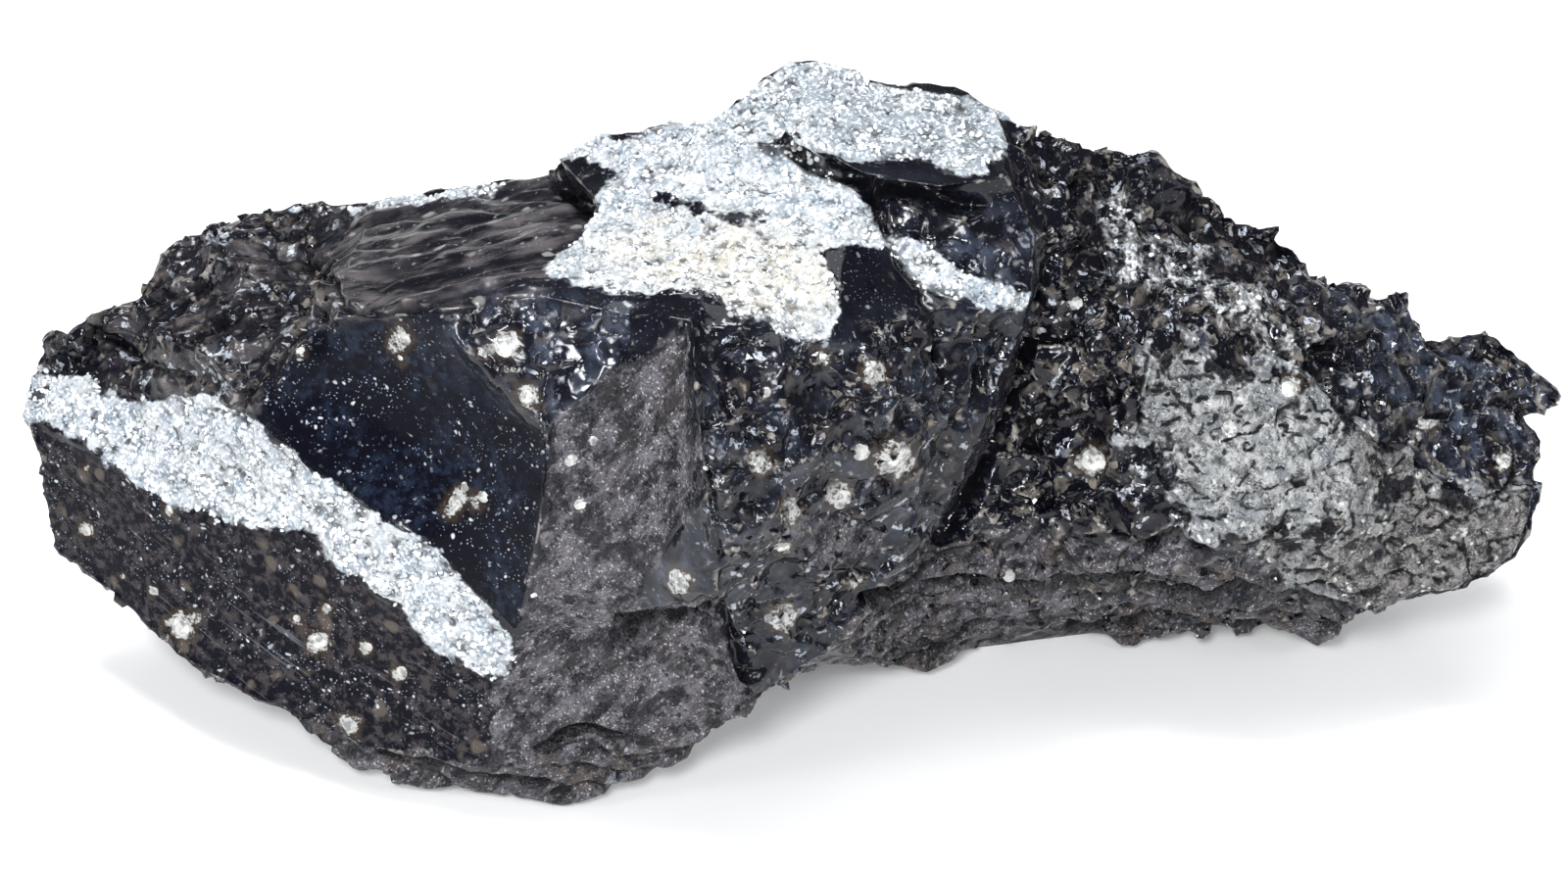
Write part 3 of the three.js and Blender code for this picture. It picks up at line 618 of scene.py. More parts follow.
def broken_relief(points, cover, sizes):
    """Height of the broken surface over the solid, in metres, at each point."""
    rough = cover["rough"]
    pale = smooth_step(-0.6, 0.6, np.maximum(cover["pale"], cover["streak"]))
    grey = smooth_step(-1, 1, cover["grey"])
    crust = smooth_step(-1, 1, cover["crust"])

    size = sizes.chip_size
    large = chipped(warped(points, 2.0 * MM, 9 * MM, 3), size, 5)
    small = chipped(warped(points, 0.8 * MM, 4 * MM, 7), size * 0.42, 9)
    broad = chipped(warped(points, 2.5 * MM, 14 * MM, 15), size * 1.8, 21)
    blocks = shattered(warped(points, 1.6 * MM, 6 * MM, 61), size * 0.8, 63)
    slabs = shattered(warped(points, 2.0 * MM, 12 * MM, 67) * (0.7, 1, 1.2), size * 1.5, 69)
    mixed = 0.45 * large + 0.30 * small + 0.75 * blocks
    mixed = mixed + cover["left"] * (0.5 * broad + 1.1 * slabs - 0.4 * large - 0.5 * blocks)
    mixed = mixed + cover["bulge"] * (1.5 * broad + 0.5 * slabs - 0.15 * large - 0.35 * blocks)
    ribbed = (points @ np.array((0.92, -0.246, -0.315)) + 1.6 * MM * layered_noise(points, 8 * MM, 2, 73)) / (1.9 * MM)
    mixed = mixed + cover["ribs"] * (0.55 * np.abs(np.sin(ribbed)) - 0.3)
    chips = rough * mixed * sizes.chip_depth * (1 - 0.75 * pale) * (1 - 0.6 * grey)
    fine_chips = sizes.chip_depth * 0.12 * small * (1 - smooth_step(0.3, 0.9, np.maximum(cover["scar"], cover["face"])))

    struck = np.array((-27, -24, 60)) * MM
    rings = np.sin(np.linalg.norm(points - struck, axis=1) / (0.55 * MM) + 3 * soft_noise(points, 14 * MM, 13))
    ripples = sizes.ripple_depth * rings * cover["scar"]
    plane_marks = sizes.ripple_depth * 8 * layered_noise(points, 7 * MM, 3, 17) * np.maximum(cover["face"], cover["scar"])

    along_flow = warped(points, 4.0 * MM, 14 * MM, 29) * (0.33, 1.0, 1.0)
    folds = np.abs(layered_noise(along_flow, 7.5 * MM, 3, 19)) * 2.6 - 0.6
    grooves = sizes.groove_depth * folds * cover["silk"]
    tears = warped(points, 1.5 * MM, 6 * MM, 35) * (0.7, 1, 1.3)
    matt = 0.30 * MM * layered_noise(tears, 3.4 * MM, 3, 23) * np.maximum(crust, cover["channel"])
    matt += 0.8 * MM * chipped(warped(points, 1.5 * MM, 6 * MM, 37), 5 * MM, 39) * crust * (1 - cover["channel"])

    tilt = np.array((0.06, -0.10, 1.0))
    level = points @ tilt / (3.6 * MM) + 1.5 * layered_noise(points, 12 * MM, 4, 27)
    step = level - np.floor(level)
    beds = sizes.bed_depth * (smooth_step(0, 0.25, step) - smooth_step(0.55, 1.0, step) - 0.4) * cover["beds"]
    beds *= 0.6 + 0.9 * soft_noise(points, 9 * MM, 28)

    grains = sizes.grain_depth * (layered_noise(points, 3.0 * MM, 2, 41) + 0.5 * chipped(points, 2.4 * MM, 43)) * pale
    torn = warped(points, 1.2 * MM, 4 * MM, 45) * (0.75, 1, 1.3)
    clefts = smooth_step(0.10, 0.0, np.abs(layered_noise(torn, 3.4 * MM, 2, 47)))
    clefts *= smooth_step(-0.15, 0.35, soft_noise(points, 2.4 * MM, 57))
    flakes = 0.55 * MM * shattered(torn, 2.6 * MM, 49) + 0.4 * MM * layered_noise(points, 5 * MM, 3, 53)
    pits = (flakes - 0.5 * MM * clefts) * np.maximum(grey, 0.3 * pale)
    swell = 0.5 * MM * layered_noise(points, 12 * MM, 2, 51) * np.maximum(rough, 0.2)
    cracks = -2.4 * MM * smooth_step(0, 0.9, cover["gap"])
    return chips + fine_chips + ripples + plane_marks + grooves + matt + beds + grains + pits + swell + cracks


def stone_mesh(name):
    """A merged copy of the solid's mesh, with every triangle cut in sixteen."""
    copy = bpy.data.meshes.new(name)
    bm = bmesh.new()
    bm.from_mesh(frame["nodes"][STONE].data)
    bmesh.ops.remove_doubles(bm, verts=bm.verts, dist=1e-6)
    for _ in range(2):
        bmesh.ops.subdivide_edges(bm, edges=bm.edges, cuts=1, use_grid_fill=True)
    bmesh.ops.triangulate(bm, faces=bm.faces)
    bm.to_mesh(copy)
    bm.free()
    return copy


def soften_facets(surface, rounds):
    """Rounds the solid's small facets into sweeps, and keeps its ridges and its flat resting spot."""
    flat = surface.points[:, 2] < 0.02 * MM
    kept = surface.creased_points(math.radians(24)) | flat
    for _ in range(rounds):
        moved = (surface.points + surface.neighbour_mean(surface.points)) / 2
        surface.points = np.where(kept[:, None], surface.points, moved)
    return flat


def sweep_scars(surface, cover, rounds):
    """Makes each great scar one even sweep, inside its border."""
    share = smooth_step(0.4, 2.2, cover["even"])[:, None]
    for _ in range(rounds):
        surface.points = surface.points + (surface.neighbour_mean(surface.points) - surface.points) * share * 0.6


def keep_values(mesh, values):
    """Stores a number for each point under each name."""
    for name, numbers in values.items():
        layer = mesh.attributes.get(name) or mesh.attributes.new(name, "FLOAT", "POINT")
        layer.data.foreach_set("value", np.asarray(numbers, np.float32))


def stored(mesh, name):
    values = np.empty(len(mesh.vertices), np.float32)
    mesh.attributes[name].data.foreach_get("value", values)
    return values


def cut_finer(mesh):
    """Cuts every triangle in four. The stored numbers follow."""
    bm = bmesh.new()
    bm.from_mesh(mesh)
    bmesh.ops.subdivide_edges(bm, edges=bm.edges, cuts=1, use_grid_fill=True)
    bmesh.ops.triangulate(bm, faces=bm.faces)
    bm.to_mesh(mesh)
    bm.free()


def break_surface(mesh, sizes):
    """Gives the refined mesh its relief, and stores how sharply each point stands out."""
    surface = Surface(mesh)
    surface.points = surface.spread(surface.points, 1)
    cover = {name: stored(mesh, name).astype(float) for name in mesh.attributes.keys() if not name.startswith(".")
             and mesh.attributes[name].data_type == "FLOAT"}
    flat = cover["flat"] > 0.99
    lift = broken_relief(surface.points, cover, sizes)
    lift = np.where(flat, 0, lift) * smooth_step(0, 3 * MM, surface.points[:, 2])
    directions = unit(surface.spread(surface.normals(), 6))
    surface.points = surface.points + directions * lift[:, None]
    surface.points[:, 2] = np.where(flat, 0, np.maximum(surface.points[:, 2], 0.15 * MM))
    mesh.vertices.foreach_set("co", surface.points.ravel())
    normals = surface.normals()
    soft = surface.spread(surface.points, 3)
    keep_values(mesh, {
        "ridge": ((surface.points - soft) * normals).sum(1) / MM,
        "swell": ((surface.points - surface.spread(soft, 30)) * normals).sum(1) / MM,
        **{f"normal_{axis}": normals[:, k] for k, axis in enumerate("xyz")},
    })
    return surface


def separate_in_pieces(stone, groups, materials):
    """Cuts the finished mesh into its groups of faces. Every piece keeps the whole's normals along its cuts."""
    stone.data.polygons.foreach_set("material_index", groups.astype(np.int32))
    stone.data.attributes.new("group", "INT", "FACE").data.foreach_set("value", groups.astype(np.int32))
    bpy.context.view_layer.objects.active = stone
    stone.select_set(True)
    bpy.ops.object.mode_set(mode="EDIT")
    bpy.ops.mesh.select_all(action="SELECT")
    bpy.ops.mesh.separate(type="MATERIAL")
    bpy.ops.object.mode_set(mode="OBJECT")
    pieces = [item for item in bpy.context.scene.objects if item.name.startswith("stone")]
    for piece in pieces:
        mesh = piece.data
        group = mesh.attributes["group"].data[0].value
        mesh.attributes.remove(mesh.attributes["group"])
        piece.name = STONE_PIECES[group]
        mesh.materials.clear()
        mesh.materials.append(materials[group])
        mesh.polygons.foreach_set("material_index", np.zeros(len(mesh.polygons), np.int32))
        mesh.shade_smooth()
        normals = np.stack([stored(mesh, f"normal_{axis}") for axis in "xyz"], axis=1)
        mesh.normals_split_custom_set_from_vertices(normals.tolist())
    return pieces


def build_stone():
    sizes = bpy.context.scene.obsidian_stone
    mesh = stone_mesh("stone")
    surface = Surface(mesh)
    flat = soften_facets(surface, 8)
    cover = describe_surface(surface)
    sweep_scars(surface, cover, 320)
    mesh.vertices.foreach_set("co", surface.points.ravel())
    keep_values(mesh, {**cover, "flat": flat})
    cut_finer(mesh)
    surface = break_surface(mesh, sizes)
    for name in ("even", "channel", "flat"):
        mesh.attributes.remove(mesh.attributes[name])

    stone = bpy.data.objects.new("stone", mesh)
    bpy.context.scene.collection.objects.link(stone)
    broken = stone_material(sizes, "obsidian", 0.26)
    scarred = stone_material(sizes, "obsidian_scar", 0.05)
    materials = [scarred] + [broken] * (len(STONE_PIECES) - 1)
    for material in materials:
        mesh.materials.append(material)
    middles = surface.points[surface.triangles, 0].mean(1)
    parts = len(STONE_PIECES) - 1
    groups = 1 + np.searchsorted(np.quantile(middles, np.arange(1, parts) / parts), middles)
    scars = np.maximum(stored(mesh, "scar"), stored(mesh, "face"))
    groups[scars[surface.triangles].min(1) > 0.5] = 0
    pieces = separate_in_pieces(stone, groups, materials)
    for piece in pieces:
        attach(piece, "root")
        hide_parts(STONE)
    return pieces


# Materials


class Shader:
    """Short ways to add nodes to a material."""

    def __init__(self, name):
        self.material = bpy.data.materials.new(name)
        self.material.use_nodes = True
        self.tree = self.material.node_tree
        self.principled = self.tree.nodes["Principled BSDF"]
        self.place = self.add("ShaderNodeTexCoord").outputs["Object"]

    def add(self, kind, **settings):
        node = self.tree.nodes.new(kind)
        for key, value in settings.items():
            setattr(node, key, value)
        return node

    def join(self, value, socket):
        if isinstance(value, bpy.types.NodeSocket):
            self.tree.links.new(value, socket)
        elif isinstance(value, (int, float)):
            socket.default_value = value
        else:
            socket.default_value = (*value, 1.0)[: len(socket.default_value)]

    def attribute(self, name):
        return self.add("ShaderNodeAttribute", attribute_name=name).outputs["Fac"]

    def stretched(self, lengths, turn=(0, 0, 0)):
        """Coordinates that draw marks out along turned axes."""
        node = self.add("ShaderNodeMapping", vector_type="TEXTURE")
        self.join(self.place, node.inputs["Vector"])
        node.inputs["Scale"].default_value = lengths
        node.inputs["Rotation"].default_value = turn
        return node.outputs["Vector"]

    def noise(self, size, detail=3.0, place=None, output="Fac", roughness=0.55):
        node = self.add("ShaderNodeTexNoise")
        self.join(place or self.place, node.inputs["Vector"])
        node.inputs["Scale"].default_value = 1 / size
        node.inputs["Detail"].default_value = detail
        node.inputs["Roughness"].default_value = roughness
        return node.outputs[output]

    def cells(self, size, place):
        """Scattered cells, as a node. Several marks share one set, because cells are slow to render."""
        node = self.add("ShaderNodeTexVoronoi")
        self.join(place, node.inputs["Vector"])
        node.inputs["Scale"].default_value = 1 / size
        return node

    def tone(self, cells, channel):
        """A random number from 0 to 1 for each cell."""
        parts = self.add("ShaderNodeSeparateColor")
        self.join(cells.outputs["Color"], parts.inputs[0])
        return parts.outputs[channel]

    def vector(self, operation, *values):
        node = self.add("ShaderNodeVectorMath", operation=operation)
        for value, socket in zip(values, node.inputs):
            self.join(value, socket)
        return node.outputs["Value" if operation == "DOT_PRODUCT" else "Vector"]

    def warp(self, amount, size):
        """Coordinates shifted by noise, so that cells in them come out ragged."""
        shift = self.vector("SUBTRACT", self.noise(size, 2, output="Color"), (0.5, 0.5, 0.5))
        return self.vector("MULTIPLY_ADD", shift, (amount * 2,) * 3, self.place)

    def facets(self, cells, place):
        """Height in metres of small faces that lean at random, one for each cell."""
        lean = self.vector("SUBTRACT", cells.outputs["Color"], (0.5, 0.5, 0.5))
        return self.vector("DOT_PRODUCT", self.vector("SUBTRACT", place, cells.outputs["Position"]), lean)

    def dots(self, cells, share, radius):
        """Round specks in a share of the cells, with their radius as a part of a cell."""
        chosen = self.ramp(self.tone(cells, "Red"), 0.99 - share, 1.01 - share)
        return self.math("MULTIPLY", self.ramp(cells.outputs["Distance"], radius, radius * 0.5), chosen)

    def math(self, operation, a, b=0.0):
        node = self.add("ShaderNodeMath", operation=operation)
        self.join(a, node.inputs[0])
        self.join(b, node.inputs[1])
        return node.outputs[0]

    def ramp(self, value, low, high, start=0.0, end=1.0):
        node = self.add("ShaderNodeMapRange", interpolation_type="SMOOTHSTEP")
        for key, number in (("Value", value), ("From Min", low), ("From Max", high), ("To Min", start), ("To Max", end)):
            self.join(number, node.inputs[key])
        return node.outputs["Result"]

    def blend(self, share, a, b):
        node = self.add("ShaderNodeMix", data_type="RGBA")
        self.join(share, node.inputs[0])
        self.join(a, node.inputs[6])
        self.join(b, node.inputs[7])
        return node.outputs[2]

    def level(self, share, a, b):
        node = self.add("ShaderNodeMix", data_type="FLOAT")
        self.join(share, node.inputs[0])
        self.join(a, node.inputs[2])
        self.join(b, node.inputs[3])
        return node.outputs[0]

    def bump(self, height, distance, below=None):
        node = self.add("ShaderNodeBump")
        node.inputs["Strength"].default_value = 1.0
        node.inputs["Distance"].default_value = distance
        self.join(height, node.inputs["Height"])
        if below:
            self.join(below, node.inputs["Normal"])
        return node.outputs["Normal"]

    def edged(self, attribute, ragged, size, softness):
        """Share of an area whose depth is an attribute in millimetres, with a ragged edge."""
        wobble = self.ramp(self.noise(size, 3), 0.2, 0.8, -ragged, ragged)
        return self.ramp(self.math("ADD", self.attribute(attribute), wobble), -softness, softness)


def stone_material(colours, name, shine):
    shader = Shader(name)
    times, most = (lambda a, b: shader.math("MULTIPLY", a, b)), (lambda a, b: shader.math("MAXIMUM", a, b))
    pale = shader.edged("pale", 0.8, 3.0 * MM, 0.22)
    streak = shader.edged("streak", 2.4, 3 * MM, 1.4)
    streak = times(streak, shader.ramp(shader.noise(2.0 * MM, 4, roughness=0.7), 0.38, 0.60))
    crust = shader.edged("crust", 1.6, 4 * MM, 0.5)
    crust = times(crust, shader.ramp(shader.noise(3 * MM, 4, roughness=0.68), 0.40, 0.47, 0.15, 1.0))
    grey = shader.edged("grey", 4.5, 4 * MM, 0.9)
    speckled = shader.edged("speckled", 4.0, 8 * MM, 3.0)
    rough, ridge, silk, halo = (shader.attribute(name) for name in ("rough", "ridge", "silk", "halo"))
    face, scar, bulge = (shader.attribute(name) for name in ("face", "scar", "bulge"))

    ragged = shader.warp(1.5 * MM, 3.5 * MM)
    chips, nicks, crumbs = (shader.cells(size, ragged) for size in (3.0 * MM, 0.9 * MM, 0.42 * MM))
    chip, nick = shader.facets(chips, ragged), shader.facets(nicks, ragged)
    chip_tone, nick_tone = shader.tone(chips, "Green"), shader.tone(nicks, "Green")
    mottle = shader.noise(1.3 * MM, 4, roughness=0.68)
    fine = shader.noise(0.5 * MM, 3, roughness=0.6)
    broad = shader.noise(9 * MM, 3)

    # black glass: thin brown chips, bluish areas, painted sheen on the silky top, painted glints, and white specks like
    # stars
    brown = times(times(shader.ramp(chip, 0.10 * MM, 0.50 * MM), shader.ramp(broad, 0.38, 0.58, 0.15, 1.0)), rough)
    brown = times(times(brown, shader.ramp(mottle, 0.34, 0.60)), shader.ramp(bulge, 0.0, 1.0, 1.0, 0.30))
    glass = shader.blend(times(brown, 0.85), colours.glass, colours.thin_edge)
    blue = times(shader.attribute("blue"), shader.ramp(shader.noise(4 * MM, 4), 0.40, 0.66))
    blue = times(blue, shader.ramp(nick_tone, 0.9, 0.3, 0.3, 1.0))
    glass = shader.blend(times(blue, 0.9), glass, colours.blue_glass)
    flow = shader.noise(3.0 * MM, 4, shader.stretched((3.0, 1, 1), (0, 0, 0.12)), roughness=0.66)
    sheen = times(times(silk, shader.ramp(flow, 0.40, 0.62)), shader.ramp(broad, 0.38, 0.58, 0.15, 1.0))
    glass = shader.blend(sheen, glass, (0.090, 0.080, 0.083))
    flecks = times(silk, shader.dots(chips, 0.5, 0.29))
    glass = shader.blend(times(flecks, 0.8), glass, (0.28, 0.265, 0.25))
    wisps = times(times(scar, shader.ramp(broad, 0.42, 0.60)), shader.ramp(mottle, 0.42, 0.64))
    glass = shader.blend(times(wisps, 0.8), glass, (0.012, 0.018, 0.033))
    dusty = times(face, shader.ramp(mottle, 0.44, 0.64, 0.0, 0.8))
    glass = shader.blend(dusty, glass, (0.046, 0.040, 0.041))
    flaked = times(face, shader.dots(chips, 0.2, 0.42))
    glass = shader.blend(times(flaked, 0.8), glass, (0.085, 0.070, 0.058))
    scratch = shader.noise(0.5 * MM, 2, shader.stretched((22, 22, 0.7), (0, 0.42, 0)))
    glass = shader.blend(times(face, shader.ramp(scratch, 0.64, 0.72, 0.0, 0.4)), glass, (0.13, 0.14, 0.16))
    worn = times(shader.ramp(ridge, 0.03, 0.12), shader.ramp(shader.noise(1.8 * MM, 4), 0.52, 0.60))
    glass = shader.blend(times(worn, 0.7), glass, (0.26, 0.235, 0.21))
    # painted glints: pale blue-white flecks on some chips of the rough glass
    painted_glint = times(times(shader.ramp(nick_tone, 0.86, 0.90), shader.ramp(chip_tone, 0.50, 0.60)), rough)
    glass = shader.blend(times(times(painted_glint, shader.ramp(fine, 0.42, 0.52)), 0.85), glass, (0.40, 0.43, 0.48))
    field = shader.ramp(shader.noise(6 * MM, 4), 0.43, 0.60, 0.06, 1.0)
    even = most(most(face, scar), 0.35)
    stars = times(times(shader.dots(crumbs, 0.6, 0.28), field), even)
    glass = shader.blend(times(stars, 0.8), glass, (0.30, 0.34, 0.41))
    specks = times(times(shader.dots(nicks, 0.22, 0.35), field), even)
    glass = shader.blend(times(specks, 0.9), glass, (0.46, 0.48, 0.50))
    ragged_halo = shader.math("ADD", halo, shader.ramp(mottle, 0.2, 0.8, -0.16, 0.16))
    glass = shader.blend(shader.ramp(ragged_halo, 0.15, 0.45, 0.0, 0.6), glass, (0.040, 0.028, 0.018))
    crumbly = times(shader.ramp(ragged_halo, 0.46, 0.54), shader.ramp(fine, 0.34, 0.56))
    glass = shader.blend(crumbly, glass, (0.36, 0.36, 0.345))

    # matt crust: dark, with torn marks, brown stains and pale grit
    torn = shader.noise(1.8 * MM, 5, shader.stretched((2.6, 1, 1), (0.3, -0.9, 0)), roughness=0.76)
    dust = shader.blend(shader.ramp(torn, 0.40, 0.60), (0.012, 0.012, 0.015), colours.crust)
    stains = shader.ramp(shader.noise(5 * MM, 3), 0.48, 0.64)
    stains = times(stains, shader.ramp(shader.attribute("beds"), 0, 1, 0.25, 1.0))
    dust = shader.blend(times(stains, 0.7), dust, (0.085, 0.066, 0.056))
    sand = shader.noise(0.30 * MM, 3, roughness=0.7)
    dust = shader.blend(shader.ramp(sand, 0.48, 0.38, 0.0, 0.8), dust, (0.008, 0.008, 0.010))
    grit = times(shader.dots(crumbs, 0.5, 0.42), shader.ramp(torn, 0.40, 0.55, 0.25, 1.0))
    dust = shader.blend(times(grit, 0.85), dust, (0.40, 0.385, 0.40))
    dust = shader.blend(times(shader.dots(chips, 0.6, 0.20), 0.7), dust, (0.21, 0.20, 0.195))

    # sugary band: white grains, cream stains, bluish glass between them, dark pores
    bluish = shader.ramp(shader.noise(3.2 * MM, 4, roughness=0.65), 0.44, 0.64)
    sugar = shader.blend(bluish, colours.pale, colours.blue_grey)
    cool = times(shader.attribute("cool"), shader.ramp(mottle, 0.34, 0.60, 0.3, 0.95))
    sugar = shader.blend(cool, sugar, (0.20, 0.23, 0.25))
    cream = times(shader.attribute("warm"), shader.ramp(broad, 0.35, 0.60, 0.15, 0.9))
    sugar = shader.blend(cream, sugar, colours.cream)
    sugar = shader.blend(shader.ramp(fine, 0.50, 0.64, 0.0, 0.8), sugar, (0.80, 0.81, 0.81))
    sugar = shader.blend(shader.ramp(mottle, 0.46, 0.32, 0.0, 0.8), sugar, (0.13, 0.15, 0.17))
    crack = shader.noise(1.5 * MM, 5, shader.stretched((2.4, 1, 1), (0, 0.5, 0)), roughness=0.6)
    cracks = shader.ramp(shader.math("ABSOLUTE", shader.math("SUBTRACT", crack, 0.5)), 0.006, 0.022, 1.0, 0.0)
    cracks = times(cracks, shader.ramp(shader.noise(2.4 * MM, 3), 0.47, 0.56))
    pores = most(shader.ramp(shader.noise(1.2 * MM, 3, shader.stretched((1.5, 1, 1))), 0.63, 0.68), cracks)
    sugar = shader.blend(times(pores, 0.85), sugar, (0.03, 0.03, 0.032))

    # grey-green patch with ragged pits
    patch = shader.blend(shader.ramp(mottle, 0.38, 0.60), (0.10, 0.105, 0.105), colours.grey_green)
    patch = shader.blend(shader.ramp(shader.noise(4 * MM, 3), 0.46, 0.62, 0.0, 0.7), patch, (0.19, 0.20, 0.215))
    patch = shader.blend(shader.ramp(fine, 0.56, 0.66, 0.0, 0.8), patch, (0.50, 0.50, 0.48))
    dusky = shader.blend(shader.ramp(mottle, 0.40, 0.58), (0.035, 0.032, 0.035), (0.20, 0.185, 0.175))
    dusky = shader.blend(shader.ramp(sand, 0.54, 0.66, 0.0, 0.8), dusky, (0.42, 0.41, 0.385))
    patch = shader.blend(times(speckled, 0.9), patch, dusky)
    white = shader.dots(nicks, 0.18, 0.45)
    patch = shader.blend(times(white, 0.9), patch, (0.62, 0.62, 0.58))
    # painted shade: the patch goes nearly black in the hollows of its relief; the dark pores mixed in are its own
    # colour
    pits = times(shader.ramp(ridge, -0.02, -0.07), shader.ramp(fine, 0.36, 0.50))
    patch = shader.blend(times(most(pits, pores), 0.9), patch, (0.014, 0.014, 0.016))

    colour = shader.blend(crust, glass, dust)
    colour = shader.blend(grey, colour, patch)
    cloud = shader.blend(shader.ramp(fine, 0.42, 0.60), (0.20, 0.20, 0.205), (0.55, 0.56, 0.56))
    colour = shader.blend(times(times(streak, shader.ramp(nick_tone, 0.05, 0.40)), 0.95), colour, cloud)
    colour = shader.blend(pale, colour, sugar)
    # painted shade: the colour goes nearly black in the hollows of the relief and along the crevices
    hollow = shader.ramp(shader.attribute("swell"), -0.55, 0.05, 0.30, 1.0)
    hollow = times(hollow, shader.ramp(ridge, -0.10, -0.01, 0.35, 1.0))
    depth = shader.ramp(shader.attribute("gap"), 0.0, 0.7, 1.0, 0.05)
    colour = shader.blend(times(hollow, depth), (0.003, 0.003, 0.004), colour)
    shader.join(colour, shader.principled.inputs["Base Color"])

    gloss = shader.ramp(shader.noise(3 * MM, 3), 0.35, 0.65, 0.08, 0.20)
    gloss = shader.level(times(silk, 0.8), gloss, 0.22)
    gloss = shader.level(most(stars, specks), gloss, 0.5)
    gloss = shader.level(crust, gloss, 0.46)
    gloss = shader.level(grey, gloss, 0.52)
    gloss = shader.level(most(pale, times(streak, 0.7)), gloss, 0.45)
    shader.join(gloss, shader.principled.inputs["Roughness"])
    shader.principled.inputs["IOR"].default_value = 1.5
    shader.principled.inputs["Specular IOR Level"].default_value = shine

    # relief finer than the mesh, over areas with plain edges, because a bump works its height out three times
    sugary, pitted, matt = (shader.ramp(shader.attribute(name), -0.4, 0.4) for name in ("pale", "grey", "crust"))
    bare = shader.ramp(most(most(sugary, pitted), matt), 0.2, 0.8, 1.0, 0.15)
    broken = times(most(rough, 0.10), bare)
    relief = [
        times(nick, times(broken, shader.ramp(broad, 0.58, 0.46, 0.05, 0.25))),
        times(shader.noise(2.4 * MM, 0.5), times(broken, 0.6 * MM)),
        times(shader.noise(5 * MM, 1), 0.12 * MM),
        times(nick, times(sugary, 0.8)),
        times(mottle, times(most(pitted, times(matt, 0.55)), 1.5 * MM)),
        times(fine, times(most(most(pitted, matt), times(sugary, 0.4)), 0.6 * MM)),
    ]
    total = relief[0]
    for height in relief[1:]:
        total = shader.math("ADD", total, height)
    shader.join(shader.bump(total, 1.0), shader.principled.inputs["Normal"])
    return shader.material


def spherulite_material(colour):
    shader = Shader("spherulite")
    tone = shader.blend(shader.ramp(shader.noise(6 * MM, 2), 0.4, 0.62), colour, (0.55, 0.54, 0.50))
    tone = shader.blend(shader.ramp(shader.noise(0.9 * MM, 5), 0.38, 0.58, 0.85, 0.0), tone, (0.12, 0.12, 0.12))
    tone = shader.blend(shader.ramp(shader.noise(0.6 * MM, 2), 0.6, 0.7, 0.0, 0.8), tone, (0.75, 0.75, 0.73))
    shader.join(tone, shader.principled.inputs["Base Color"])
    shader.principled.inputs["Roughness"].default_value = 0.45
    shader.join(shader.bump(shader.noise(0.7 * MM, 4), 0.25 * MM), shader.principled.inputs["Normal"])
    return shader.material


def grain_material(colours):
    shader = Shader("sugar_grain")
    tone = shader.blend(shader.ramp(shader.noise(2.0 * MM, 3), 0.4, 0.62), colours.pale, (0.84, 0.85, 0.84))
    tone = shader.blend(shader.ramp(shader.noise(11 * MM, 3), 0.55, 0.70, 0.0, 0.7), tone, colours.cream)
    tone = shader.blend(shader.ramp(shader.noise(5 * MM, 3), 0.52, 0.66, 0.0, 0.7), tone, colours.blue_grey)
    shader.join(tone, shader.principled.inputs["Base Color"])
    shader.principled.inputs["Roughness"].default_value = 0.38
    shader.join(shader.bump(shader.noise(0.5 * MM, 2), 0.1 * MM), shader.principled.inputs["Normal"])
    return shader.material


def splinter_material(colours):
    shader = Shader("glass_splinter")
    tone = shader.blend(shader.ramp(shader.noise(1.6 * MM, 5), 0.48, 0.66), colours.glass, colours.thin_edge)
    tone = shader.blend(shader.ramp(shader.noise(4 * MM, 2), 0.55, 0.7, 0.0, 0.6), tone, colours.blue_glass)
    shader.join(tone, shader.principled.inputs["Base Color"])
    shader.principled.inputs["Roughness"].default_value = 0.14
    shader.principled.inputs["IOR"].default_value = 1.5
    shader.join(shader.bump(shader.noise(1.5 * MM, 2), 0.1 * MM), shader.principled.inputs["Normal"])
    return shader.material


# Small pieces on the stone


def standing(place, direction, spin, scale):
    """Matrix that stands a shape on a place, with its Z along a direction."""
    turn = Vector(direction).to_track_quat("Z", "Y").to_matrix().to_4x4()
    return Matrix.Translation(place) @ turn @ Matrix.Rotation(spin, 4, "Z") @ Matrix.Diagonal((*scale, 1.0))


def joined(makers):
    """One mesh of many small shapes, each made by a call that adds it to a mesh. Small batches keep this quick."""
    whole = bmesh.new()
    for start in range(0, len(makers), 80):
        batch = bmesh.new()
        for make in makers[start : start + 80]:
            make(batch)
        passing = bpy.data.meshes.new("batch")
        batch.to_mesh(passing)
        batch.free()
        whole.from_mesh(passing)
        bpy.data.meshes.remove(passing)
    return whole


def finished_piece(bm, name, material):
    mesh = bpy.data.meshes.new(name)
    bm.to_mesh(mesh)
    bm.free()
    mesh.materials.append(material)
    piece = bpy.data.objects.new(name, mesh)
    bpy.context.scene.collection.objects.link(piece)
    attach(piece, "root")
    return piece


def scattered_places(surface, weights, count, rng):
    """Random places and normals on the surface, by area and weight."""
    area = np.linalg.norm(surface.face_normals(), axis=1)
    chance = area * weights[surface.triangles].mean(1)
    chosen = rng.choice(len(chance), count, p=chance / chance.sum())
    corner = rng.dirichlet((1, 1, 1), count)
    places = (surface.points[surface.triangles[chosen]] * corner[:, :, None]).sum(1)
    return places, unit(surface.face_normals()[chosen])


